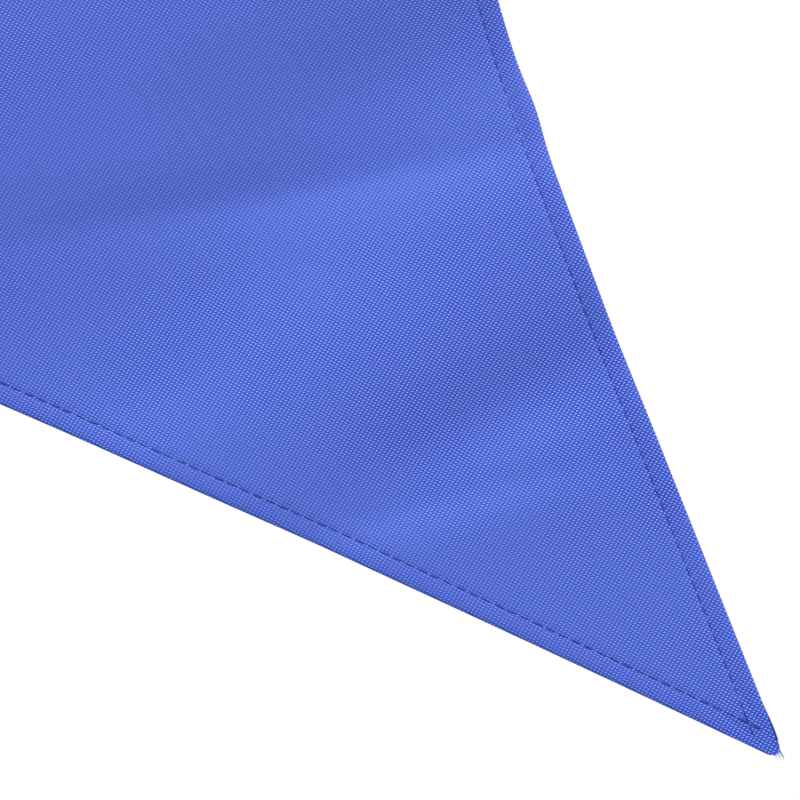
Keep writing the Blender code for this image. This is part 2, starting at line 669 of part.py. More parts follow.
def leg_outline():
    """Side view of a leg, from its pivot: a round root, a level underside and a top that falls outwards."""
    reach = LEG_REACH - PIVOT_RADIUS
    root = LEG_ROOT_HEIGHT / 2
    end_top = LEG_END_HEIGHT - root
    round_root = [(root * math.cos(a), root * math.sin(a))
                  for a in (math.pi * (0.5 + k / 12) for k in range(13))]
    c = LEG_CORNER
    return round_root + [(reach - c, -root), (reach, -root + c), (reach, end_top - c), (reach - c, end_top)]


def make_legs():
    bore = rod_mesh("leg_bore", BOLT_RADIUS + GAP, (0, -LEG_THICK, 0), (0, LEG_THICK, 0), sides=24)
    for i in range(LEG_COUNT):
        turn = i * 2 * math.pi / LEG_COUNT
        place = (PIVOT_RADIUS * math.cos(turn), PIVOT_RADIUS * math.sin(turn), LEG_CENTRE)
        pivot = add_empty(f"leg_{i + 1}_pivot", PARTS, place, turn)
        leg = plate(f"leg_{i + 1}", leg_outline(), LEG_THICK, PARTS, BLACK_STEEL)
        leg.parent = pivot
        leg = as_mesh(leg)
        soften(leg, LEG_EDGE)
        hole = cutter(f"leg_bore_{i + 1}", bore)
        hole.parent = pivot
        combine(leg, hole, "DIFFERENCE")
        make_foot(i + 1, pivot)
        make_pivot_bolt(i + 1, pivot)


def make_foot(number, pivot):
    """A rubber shoe pushed over the leg's end."""
    reach = LEG_REACH - PIVOT_RADIUS
    low = -LEG_CENTRE
    root = LEG_ROOT_HEIGHT / 2
    inner = reach - FOOT_COVER
    slope = (LEG_ROOT_HEIGHT - LEG_END_HEIGHT) / (reach - LEG_CORNER)
    pocket_top = root - slope * inner + GAP
    start, end = inner, inner + FOOT_LENGTH
    half = FOOT_WIDTH / 2
    foot = box_mesh(f"foot_{number}", (start, -half, low), (end, half, pocket_top + FOOT_TOP_WALL))
    foot = add_object(f"foot_{number}", foot, PARTS, BLACK_RUBBER)
    foot.parent = pivot
    side = LEG_THICK / 2 + GAP
    pocket = cutter(f"foot_pocket_{number}",
                    box_mesh("foot_pocket", (start - GAP, -side, -root - GAP), (reach + GAP, side, pocket_top)))
    pocket.parent = pivot
    soften(foot, FOOT_EDGE)
    combine(foot, pocket, "DIFFERENCE")


def make_pivot_bolt(number, pivot):
    half = HUB_ARM_WIDTH / 2
    head = half + GAP + BOLT_HEAD
    nut_face = half + GAP
    end = nut_face + BOLT_NUT + GAP
    bolt = rod_mesh("bolt_shank", BOLT_RADIUS, (0, -half - GAP - BOLT_HEAD / 2, 0), (0, end, 0), sides=24)
    bolt = add_object(f"pivot_bolt_{number}", bolt, PARTS, ZINC_STEEL)
    bolt.parent = pivot
    head_mesh = rod_mesh("bolt_head", BOLT_HEAD_RADIUS, (0, -head, 0), (0, -half - GAP, 0), sides=HEX)
    bolt_head = cutter(f"bolt_head_{number}", head_mesh)
    bolt_head.parent = pivot
    combine(bolt, bolt_head, "UNION")
    nut = rod_mesh("nut", BOLT_HEAD_RADIUS, (0, nut_face, 0), (0, nut_face + BOLT_NUT, 0), sides=HEX)
    nut = add_object(f"pivot_nut_{number}", nut, PARTS, ZINC_STEEL)
    nut.parent = pivot
    hole = rod_mesh("nut_hole", BOLT_RADIUS + GAP, (0, half, 0), (0, end + GAP, 0), sides=24)
    hole = cutter(f"pivot_nut_hole_{number}", hole)
    hole.parent = pivot
    combine(nut, hole, "DIFFERENCE")


def shade_round_pieces():
    for obj in PARTS.objects:
        if obj.type == "MESH":
            obj.data.shade_smooth()
            obj.data.set_sharp_from_angle(angle=math.radians(35))


# ---------------------------------------------------------------- build
clear_scene()
PARTS = new_collection("teardrop_flag")
CUTTERS = new_collection("cutters")

SAIL_CLOTH = material("sail_cloth", (0.105, 0.185, 0.680), 0.55)
SLEEVE_CLOTH = material("sleeve_cloth", (0.045, 0.085, 0.360), 0.70)
WEBBING = material("webbing", (0.020, 0.022, 0.028), 0.80)
ELASTIC = material("elastic_cord", (0.015, 0.015, 0.017), 0.75)
BRASS = material("grommet_brass", (0.72, 0.52, 0.24), 0.30, 1.0)
POLE_ALLOY = material("pole_alloy", (0.58, 0.59, 0.61), 0.32, 1.0)
POLE_GLASS_FIBRE = material("pole_glass_fibre", (0.030, 0.030, 0.033), 0.35)
FERRULE_STEEL = material("ferrule_steel", (0.56, 0.57, 0.58), 0.25, 1.0)
ZINC_STEEL = material("zinc_steel", (0.60, 0.60, 0.58), 0.30, 1.0)
BLACK_STEEL = material("black_powder_coat", (0.025, 0.025, 0.027), 0.50)
BLACK_NYLON = material("black_nylon", (0.020, 0.020, 0.022), 0.50)
WHITE_NYLON = material("white_nylon", (0.78, 0.77, 0.73), 0.45)
BLACK_RUBBER = material("black_rubber", (0.018, 0.018, 0.018), 0.85)

make_hub()
make_legs()
make_spindle(None)
FLAG_AXIS = add_empty("flag_axis", PARTS, (0.0, 0.0, ROTOR_BASE))
make_rotor(FLAG_AXIS)
make_pole(FLAG_AXIS)
make_sail(FLAG_AXIS)
make_tab(FLAG_AXIS)
make_cord(FLAG_AXIS)
make_collar(FLAG_AXIS)
shade_round_pieces()
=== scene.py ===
"""Looks of the teardrop flag: cloth, stitching, cord, tubes and base hardware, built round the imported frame.

Metres, +Z up.  The pole's axis is the Z axis, and the sail lies in the XZ plane towards -X.
"""

import math

import bmesh
import bpy
import numpy as np
from mathutils import Matrix, Vector


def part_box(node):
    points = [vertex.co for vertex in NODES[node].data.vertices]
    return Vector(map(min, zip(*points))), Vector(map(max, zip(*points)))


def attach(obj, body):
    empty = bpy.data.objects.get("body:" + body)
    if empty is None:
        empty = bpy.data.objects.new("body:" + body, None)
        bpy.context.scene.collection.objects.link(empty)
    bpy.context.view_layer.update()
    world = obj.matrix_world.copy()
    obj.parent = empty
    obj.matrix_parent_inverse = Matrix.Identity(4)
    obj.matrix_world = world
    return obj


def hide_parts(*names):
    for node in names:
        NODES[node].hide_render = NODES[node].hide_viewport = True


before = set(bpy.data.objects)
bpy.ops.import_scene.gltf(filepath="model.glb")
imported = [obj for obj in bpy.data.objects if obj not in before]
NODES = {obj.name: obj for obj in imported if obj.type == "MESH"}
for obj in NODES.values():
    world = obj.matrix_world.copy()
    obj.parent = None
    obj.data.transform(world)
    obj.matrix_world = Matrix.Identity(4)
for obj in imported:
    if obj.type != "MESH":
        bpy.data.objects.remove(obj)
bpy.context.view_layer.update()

# ---------------------------------------------------------------- sizes shared with the frame
GAP = 0.0003
POLE_SIDE_ANGLE = math.radians(21.75)
POLE_SIDE_STRAIGHT = 0.090
POLE_SIDE_FLARE = math.radians(11.5)
POLE_SIDE_FLARE_RUN = 0.240
FREE_SIDE_ANGLE = math.radians(21.75)
FREE_SIDE_FLARE = math.radians(1.7)
FREE_SIDE_FLARE_RUN = 0.260
FREE_SIDE_LENGTH = 1.450
TIP_BLUNT = 0.0025
SECTION_RADIUS = (0.0095, 0.0075, 0.0055, 0.0040)
SECTION_WALL = (0.0017, 0.0017, 0.0012)
FIRST_JOINT_DROP = 0.055
SECTION_REACH = (0.570, 0.800)
PLUG_LENGTH = 0.060
FERRULE_LENGTH = 0.045
FERRULE_WALL = 0.0010
SLEEVE_RADIUS = 0.0110
POCKET_LENGTH = 0.070
POCKET_WALL = 0.0013
POCKET_END = 0.006
TIP_CAP_WALL = 0.0014
TAB_WIDTH = 0.018
TAB_RISE = 0.015
TAB_CROTCH = 0.046
TAB_DROP = 0.084
TAB_CLOTH = 0.00135
CORD_RADIUS = 0.00175
POCKET_RADIUS = SLEEVE_RADIUS - 0.0010 + POCKET_WALL
PANEL_OFFSET = POCKET_RADIUS + GAP

# ---------------------------------------------------------------- cloth and thread
CLOTH = 0.00025              # thickness of the sail's cloth
HEM_WIDTH = 0.0050           # stitch line, from the folded edge
HEM_FLAP = 0.0062            # inner edge of the folded flap on the back
HEM_DEPTH = 0.00062          # the flap's middle, behind the front layer
STITCH_PITCH = 0.0035
THREAD_RADIUS = 0.00016
WEFT_PITCH = 0.000618        # spacing of the warp yarns, along the weft
WARP_PITCH = 0.000600        # spacing of the weft yarns, along the warp
UV_SPAN = 4.0                # metres of cloth across the weave's UV map

# the corner's own directions: the grain runs askew to the ground
GRAIN_TURN = math.radians(43.2)
ACROSS = Vector((math.cos(GRAIN_TURN), 0.0, -math.sin(GRAIN_TURN)))
ALONG = Vector((math.sin(GRAIN_TURN), 0.0, math.cos(GRAIN_TURN)))
WEFT = ACROSS * math.cos(math.radians(10.6)) + ALONG * math.sin(math.radians(10.6))
WARP = ACROSS * math.sin(math.radians(20.0)) - ALONG * math.cos(math.radians(20.0))
VIEW_CENTRE = Vector((-0.18823, 0.0, 0.54783))
VIEW_WIDTH = 0.200


# ---------------------------------------------------------------- small tools
def linear(code):
    """An sRGB hex colour as linear RGBA."""
    values = [int(code[i:i + 2], 16) / 255 for i in (1, 3, 5)]
    return (*[v / 12.92 if v <= 0.04045 else ((v + 0.055) / 1.055) ** 2.4 for v in values], 1.0)


def smooth(t):
    """0 before t = 0, 1 after t = 1, and an even turn between."""
    t = np.clip(t, 0.0, 1.0)
    return t * t * (3.0 - 2.0 * t)


def add_node(tree, kind, inputs=None, **settings):
    """Adds a shader node.  An input takes a value, a socket, or a node's first output."""
    node = tree.nodes.new(kind)
    for key, value in settings.items():
        setattr(node, key, value)
    for key, value in (inputs or {}).items():
        if isinstance(value, bpy.types.Node):
            value = value.outputs[0]
        if isinstance(value, bpy.types.NodeSocket):
            tree.links.new(value, node.inputs[key])
        else:
            node.inputs[key].default_value = value
    return node


def new_material(name, colour, roughness, **sockets):
    mat = bpy.data.materials.new(name)
    mat.use_nodes = True
    shader = mat.node_tree.nodes["Principled BSDF"]
    shader.inputs["Base Color"].default_value = linear(colour)
    shader.inputs["Roughness"].default_value = roughness
    for key, value in sockets.items():
        shader.inputs[key.replace("_", " ")].default_value = value
    return mat, mat.node_tree, shader


def add_piece(name, mesh, mat, body, replaces=(), sharp=35):
    """Puts a finished mesh in the scene and ties it to its body."""
    obj = bpy.data.objects.new(name, mesh)
    bpy.context.scene.collection.objects.link(obj)
    mesh.materials.clear()
    mesh.materials.append(mat)
    mesh.shade_smooth()
    mesh.set_sharp_from_angle(angle=math.radians(sharp))
    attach(obj, body)
    if replaces:
        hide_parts(*replaces)
    return obj


def mesh_of(name, bm):
    """Turns a bmesh's faces outwards, and frees it into a mesh."""
    bmesh.ops.recalc_face_normals(bm, faces=bm.faces)
    mesh = bpy.data.meshes.new(name)
    bm.to_mesh(mesh)
    bm.free()
    return mesh


def laid_grid(name, places, maps=None):
    """A grid whose points lie at places[row, column].  maps holds the UV maps, in the same order."""
    rows, columns = places.shape[:2]
    bm = bmesh.new()
    bmesh.ops.create_grid(bm, x_segments=columns - 1, y_segments=rows - 1, size=0.5)
    mesh = bpy.data.meshes.new(name)
    bm.to_mesh(mesh)
    bm.free()
    flat = np.zeros(len(mesh.vertices) * 3, np.float32)
    mesh.vertices.foreach_get("co", flat)
    flat = flat.reshape(-1, 3)
    column = np.rint((flat[:, 0] + 0.5) * (columns - 1)).astype(int)
    row = np.rint((flat[:, 1] + 0.5) * (rows - 1)).astype(int)
    mesh.vertices.foreach_set("co", places[row, column].astype(np.float32).ravel())
    corner = np.zeros(len(mesh.loops), np.int32)
    mesh.loops.foreach_get("vertex_index", corner)
    for key, values in (maps or {}).items():
        layer = mesh.uv_layers.new(name=key)
        layer.uv.foreach_set("vector", values[row[corner], column[corner]].astype(np.float32).ravel())
    mesh.update()
    return mesh


def weld(mesh, distance=0.00001, cap=False):
    """Merges a grid's meeting edges, and closes its open ends if asked."""
    bm = bmesh.new()
    bm.from_mesh(mesh)
    bmesh.ops.remove_doubles(bm, verts=bm.verts, dist=distance)
    if cap:
        bmesh.ops.holes_fill(bm, edges=[e for e in bm.edges if e.is_boundary], sides=0)
    bmesh.ops.recalc_face_normals(bm, faces=bm.faces)
    bm.to_mesh(mesh)
    bm.free()
    return mesh


def thicken(obj, thickness, offset=0.0):
    wall = obj.modifiers.new("wall", "SOLIDIFY")
    wall.thickness = thickness
    wall.offset = offset
    return wall


def rounded(profile, radius, steps=3):
    """A closed profile with each corner turned into a short arc."""
    points = []
    count = len(profile)
    for i, corner in enumerate(profile):
        here = Vector(corner)
        before, after = Vector(profile[i - 1]), Vector(profile[(i + 1) % count])
        reach = min(radius, (before - here).length * 0.45, (after - here).length * 0.45)
        start = here + (before - here).normalized() * reach
        end = here + (after - here).normalized() * reach
        for k in range(steps + 1):
            t = k / steps
            points.append(start * (1 - t) ** 2 + here * 2 * t * (1 - t) + end * t ** 2)
    return [tuple(p) for p in points]


def turned(name, profile, origin=(0, 0, 0), axis="Z", steps=64):
    """A ring or a solid turned about an axis through origin, from its (radius, height) profile."""
    bm = bmesh.new()
    verts = [bm.verts.new((max(r, 0.0), 0.0, z)) for r, z in profile]
    edges = [bm.edges.new(pair) for pair in zip(verts, verts[1:] + verts[:1])]
    bmesh.ops.spin(bm, geom=verts + edges, cent=(0, 0, 0), axis=(0, 0, 1), angle=2 * math.pi,
                   steps=steps, use_merge=True)
    bmesh.ops.remove_doubles(bm, verts=bm.verts, dist=0.000002)
    bmesh.ops.dissolve_degenerate(bm, dist=0.000001, edges=bm.edges)
    turn = {"X": Matrix.Rotation(math.pi / 2, 4, "Y"), "Y": Matrix.Rotation(-math.pi / 2, 4, "X"),
            "Z": Matrix.Identity(4)}[axis]
    bm.transform(Matrix.Translation(origin) @ turn)
    return mesh_of(name, bm)


def rod_mesh(name, radius, start, end, sides=32):
    """A rod between two points."""
    start, end = Vector(start), Vector(end)
    run = end - start
    place = Matrix.Translation((start + end) / 2) @ run.to_track_quat("Z", "Y").to_matrix().to_4x4()
    bm = bmesh.new()
    bmesh.ops.create_cone(bm, cap_ends=True, segments=sides, radius1=radius, radius2=radius,
                          depth=run.length, matrix=place)
    return mesh_of(name, bm)


def settled(obj):
    """Applies the object's modifiers."""
    bpy.context.view_layer.update()
    evaluated = obj.evaluated_get(bpy.context.evaluated_depsgraph_get())
    mesh = bpy.data.meshes.new_from_object(evaluated)
    obj.modifiers.clear()
    obj.data = mesh
    return obj


def combined(mesh, others):
    """A mesh joined with or cut by others, each given as (mesh, operation)."""
    obj = bpy.data.objects.new("work", mesh)
    bpy.context.scene.collection.objects.link(obj)
    tools = []
    for other, operation in others:
        tool = bpy.data.objects.new("tool", other)
        bpy.context.scene.collection.objects.link(tool)
        tools.append(tool)
        step = obj.modifiers.new("step", "BOOLEAN")
        step.operation = operation
        step.object = tool
        step.solver = "EXACT"
    result = settled(obj).data
    for extra in [obj, *tools]:
        bpy.data.objects.remove(extra, do_unlink=True)
    return result


def eased(name, mesh, width, segments=2, angle=30):
    """A copy of a mesh with its facets merged and its sharp edges rounded."""
    bm = bmesh.new()
    bm.from_mesh(mesh)
    bmesh.ops.remove_doubles(bm, verts=bm.verts, dist=0.000005)
    bmesh.ops.dissolve_limit(bm, angle_limit=math.radians(1.0), verts=bm.verts, edges=bm.edges)
    sharp = [e for e in bm.edges if e.is_manifold and e.calc_face_angle(0.0) > math.radians(angle)]
    bmesh.ops.bevel(bm, geom=sharp, offset=width, offset_type="OFFSET", affect="EDGES", segments=segments,
                    profile=0.5, material=-1, clamp_overlap=True)
    bmesh.ops.remove_doubles(bm, verts=bm.verts, dist=0.000002)
    bmesh.ops.triangulate(bm, faces=[f for f in bm.faces if len(f.verts) > 4])
    copy = bpy.data.meshes.new(name)
    bm.to_mesh(copy)
    bm.free()
    return copy


# ---------------------------------------------------------------- lines in the sail's plane
TRACK_STEP = 0.001           # spacing of an edge's points
HEADING_REACH = 0.004        # stretch on either side that a line's heading is taken over
POLE_EDGE_RUN = 0.45         # longer than the free tail of the pole-side edge
# small outward steps of the folded edge, where the hem was started again: place, half length, size
HEM_STEPS = ((0.171, 0.009, 0.0008), (0.0088, 0.0012, 0.0004))


class Track:
    """A line in the XZ plane, by distance along it."""

    def __init__(self, s, x, z):
        self.s, self.x, self.z = np.asarray(s), np.asarray(x), np.asarray(z)
        self.end = float(self.s[-1])

    def at(self, s):
        over = np.maximum(np.asarray(s) - self.end, 0.0)
        dx, dz = self.heading(np.full_like(over, self.end))
        return np.interp(s, self.s, self.x) + dx * over, np.interp(s, self.s, self.z) + dz * over

    def heading(self, s):
        here = np.clip(s, self.s[0], self.end)
        low = np.maximum(here - HEADING_REACH, self.s[0])
        high = np.minimum(here + HEADING_REACH, self.end)
        dx = np.interp(high, self.s, self.x) - np.interp(low, self.s, self.x)
        dz = np.interp(high, self.s, self.z) - np.interp(low, self.s, self.z)
        size = np.hypot(dx, dz)
        return dx / size, dz / size

    def beside(self, s, offset):
        """Points to the left of the line, looking along it."""
        x, z = self.at(s)
        dx, dz = self.heading(s)
        return x - dz * offset, z + dx * offset


def edge_track(angle_at, side, length):
    """An edge of the sail, from the tip up."""
    s = np.linspace(0.0, length, int(length / TRACK_STEP) + 1)
    middle = (s[1:] + s[:-1]) / 2
    angles = angle_at(middle)
    step = np.diff(s)
    x = TIP[0] + side * (TIP_BLUNT / 2 + np.concatenate([[0.0], np.cumsum(np.sin(angles) * step)]))
    z = TIP[1] + np.concatenate([[0.0], np.cumsum(np.cos(angles) * step)])
    return Track(s, x, z)


def pole_side_angle(s):
    return POLE_SIDE_ANGLE + POLE_SIDE_FLARE * smooth((s - POLE_SIDE_STRAIGHT) / POLE_SIDE_FLARE_RUN)


def free_side_angle(s):
    return FREE_SIDE_ANGLE + FREE_SIDE_FLARE * smooth(s / FREE_SIDE_FLARE_RUN)


def find_tip():
    """The middle of the panel's lowest edge."""
    verts = [v.co for v in NODES["sail_panel"].data.vertices]
    floor = min(v.z for v in verts)
    lowest = [v.x for v in verts if v.z < floor + 0.0002]
    return (min(lowest) + max(lowest)) / 2, floor


TIP = find_tip()
FREE_EDGE = edge_track(free_side_angle, -1, FREE_SIDE_LENGTH)
POLE_EDGE = edge_track(pole_side_angle, 1, POLE_EDGE_RUN)
MOUTH_RUN = float(np.interp(-(SLEEVE_RADIUS + GAP), POLE_EDGE.x, POLE_EDGE.s))
MOUTH_HEIGHT = float(POLE_EDGE.at(MOUTH_RUN)[1])


def pole_track():
    """The pole's centre line: straight up, then bent over by an even turn to the sleeve's end."""
    end_angle = float(free_side_angle(FREE_SIDE_LENGTH))
    x_edge, z_edge = (float(v) for v in FREE_EDGE.at(FREE_SIDE_LENGTH))
    beyond = TIP_CAP_WALL + GAP + POCKET_END
    x_end = x_edge + POCKET_RADIUS * math.cos(end_angle) - beyond * math.sin(end_angle)
    z_end = z_edge + POCKET_RADIUS * math.sin(end_angle) + beyond * math.cos(end_angle)
    shares = np.linspace(0.0, 1.0, 2001)
    headings = (math.pi + end_angle) * smooth((shares[1:] + shares[:-1]) / 2)
    sideways = np.concatenate([[0.0], np.cumsum(np.sin(headings))]) / len(headings)
    upwards = np.concatenate([[0.0], np.cumsum(np.cos(headings))]) / len(headings)
    length = -x_end / sideways[-1]
    start = z_end - length * upwards[-1]
    s = np.concatenate([[0.0], start + length * shares])
    x = np.concatenate([[0.0], -length * sideways])
    z = np.concatenate([[0.0], start + length * upwards])
    return Track(s, x, z)


POLE = pole_track()
POLE_END = POLE.end
POCKET_START = POLE_END - POCKET_LENGTH
POCKET_TIP = POLE_END + TIP_CAP_WALL + GAP + POCKET_END
FIRST_JOINT = MOUTH_HEIGHT - FIRST_JOINT_DROP
SECTION_TOP = (FIRST_JOINT, FIRST_JOINT + SECTION_REACH[0], FIRST_JOINT + sum(SECTION_REACH))


def right_edge(s):
    """The sail's edge on the pole's side: the free tail first, then the seam along the sleeve."""
    s = np.asarray(s, float)
    step = sum(size * np.exp(-((s - place) / half) ** 2) for place, half, size in HEM_STEPS)
    x_tail, z_tail = POLE_EDGE.beside(np.minimum(s, MOUTH_RUN), -step)
    x_seam, z_seam = POLE.beside(MOUTH_HEIGHT + np.maximum(s - MOUTH_RUN, 0.0), PANEL_OFFSET)
    seam = s > MOUTH_RUN
    return np.where(seam, x_seam, x_tail), np.where(seam, z_seam, z_tail)


SEAM_LENGTH = POCKET_TIP - MOUTH_HEIGHT


# ---------------------------------------------------------------- how the cloth lies
# folds of the loose corner, in millimetres from its middle and degrees:
# across, down, turn of the fold's line, half length, half width, height towards the back
CORNER_FOLDS = (
    (-18.0, -57.0, 35, 84.0, 30.0, 8.2),
    (-78.0, -112.0, 35, 130.0, 40.0, -4.5),
    (18.0, 9.0, 34, 62.0, 13.5, 3.0),
    (-62.0, -2.0, 25, 26.0, 12.0, 1.1),
)
# pressed creases: across, down, turn, half length, half width, and the slope on either side of the line
CORNER_CREASES = (
    (-27.0, -53.0, 10.8, 68.0, 15.0, 0.125),
    (20.0, 23.0, 14.6, 32.0, 11.0, 0.115),
)
CREASE_ROUND = 0.0012
CORNER_REACH = 0.12          # the corner's folds hold to this distance from its middle
CORNER_FADE = 0.16           # and die out over this one
TAIL_LEAN = 0.050            # slope of the last stretch before the tip, towards the front
TAIL_WAY = (0.57, 0.82)      # the tip's direction from the corner's middle, across and down
TAIL_START = 0.012           # from the corner's middle, that way
# short pull lines out of the two held corners: place, rays in a full turn, and height
PULL_LINES = (
    (-0.02, MOUTH_HEIGHT, 19.0, 0.0030),
    (*FREE_EDGE.at(FREE_SIDE_LENGTH), 23.0, 0.0022),
)
PULL_START = 0.10
PULL_FADE = 0.30
SEAM_FLAT = 0.022            # the cloth is held flat to this distance from the pole's line
SEAM_EASE = 0.09
SEAM_POINTS = np.stack(POLE.at(np.linspace(MOUTH_HEIGHT, POCKET_TIP, 500)), 1)


def corner_place(x, z):
    """Distances across and down from the corner's middle."""
    dx, dz = x - VIEW_CENTRE.x, z - VIEW_CENTRE.z
    return dx * ACROSS.x + dz * ACROSS.z, -(dx * ALONG.x + dz * ALONG.z)


def fold_place(u, v, across, down, turn):
    """Distances along and off the line of a fold, in metres, from its place in the tables' millimetres."""
    cos, sin = math.cos(math.radians(turn)), math.sin(math.radians(turn))
    du, dv = u - across / 1000, v - down / 1000
    return du * cos - dv * sin, du * sin + dv * cos


def rise(x, z):
    """How far the cloth lies behind the sail's plane."""
    u, v = corner_place(x, z)
    corner = np.zeros_like(u)
    for across, down, turn, long, wide, height in CORNER_FOLDS:
        run, off = fold_place(u, v, across, down, turn)
        corner += height / 1000 * np.exp(-(run * 1000 / long) ** 2 - (off * 1000 / wide) ** 2)
    for across, down, turn, long, wide, slope in CORNER_CREASES:
        run, off = fold_place(u, v, across, down, turn)
        reach = np.exp(-(run * 1000 / long) ** 4 - (off * 1000 / wide) ** 2)
        corner -= slope * np.sqrt(off * off + CREASE_ROUND ** 2) * reach
    tail = np.maximum(u * TAIL_WAY[0] + v * TAIL_WAY[1] - TAIL_START, 0.0)
    corner -= TAIL_LEAN * tail * tail / (tail + TAIL_START)
    near = 1.0 - smooth((np.hypot(u, v) - CORNER_REACH) / CORNER_FADE)
    # slow waves over the open cloth, some tens of centimetres long
    broad = 0.0060 * np.sin(7.5 * x + 4.0 * z + 0.6) * np.cos(2.2 * z - 0.4)
    broad += 0.0028 * np.sin(15.0 * x - 8.0 * z + 1.1)
    broad += 0.0012 * np.sin(9.0 * x + 31.0 * z)
    pull = np.zeros_like(u)
    for x0, z0, turns, height in PULL_LINES:
        away = np.hypot(x - x0, z - z0)
        ray = np.arctan2(z - z0, x - x0)
        wave = height * np.sin(turns * ray + 5.0 * away)
        pull += wave * np.exp(-away / PULL_FADE) * smooth(away / PULL_START)
    flat = smooth((seam_distance(x, z) - SEAM_FLAT) / SEAM_EASE)
    return (corner * near + (broad + pull) * (1.0 - near)) * flat


def seam_distance(x, z):
    """Distance from the pole's line along the sleeve."""
    flat_x, flat_z = np.ravel(x), np.ravel(z)
    found = np.empty(len(flat_x))
    block = 4000
    for i in range(0, len(flat_x), block):
        part = np.stack([flat_x[i:i + block], flat_z[i:i + block]], 1)
        found[i:i + block] = np.sqrt(((part[:, None] - SEAM_POINTS[None]) ** 2).sum(2).min(1))
    return found.reshape(np.shape(x))


# ---------------------------------------------------------------- materials
BRAID_STRANDS = 8
BRAID_PITCH = 0.0016         # length of a braid's diamond, along the cord
PUCKER_WIDTH = 0.0014        # reach of the puckered cloth beside a stitch line


def weave_factor(tree, uv, scale, jitter, unevenness):
    """A plain weave, from 1 on one set of yarns to -1 on the other; unevenness is its noise's scale."""
    place = add_node(tree, "ShaderNodeTexCoord")
    noise = add_node(tree, "ShaderNodeTexNoise", {"Vector": place.outputs["Object"], "Scale": unevenness,
                                                  "Detail": 1.0})
    shift = add_node(tree, "ShaderNodeVectorMath", {0: noise.outputs["Color"], 1: (jitter, jitter, 0.0)},
                     operation="MULTIPLY")
    yarns = add_node(tree, "ShaderNodeVectorMath", {0: uv, 1: scale}, operation="MULTIPLY")
    moved = add_node(tree, "ShaderNodeVectorMath", {0: yarns, 1: shift}, operation="ADD")
    parts = add_node(tree, "ShaderNodeSeparateXYZ", {0: moved})
    over = add_node(tree, "ShaderNodeMath", {0: parts.outputs["X"]}, operation="SINE")
    over = add_node(tree, "ShaderNodeMath", {0: over, 1: 2.0}, operation="MULTIPLY")
    over = add_node(tree, "ShaderNodeMath", {0: over}, operation="TANH")
    under = add_node(tree, "ShaderNodeMath", {0: parts.outputs["Y"]}, operation="SINE")
    narrow = add_node(tree, "ShaderNodeMath", {0: under}, operation="ABSOLUTE")
    narrow = add_node(tree, "ShaderNodeMath", {0: narrow, 1: under}, operation="MULTIPLY")
    return add_node(tree, "ShaderNodeMath", {0: over, 1: narrow}, operation="MULTIPLY")


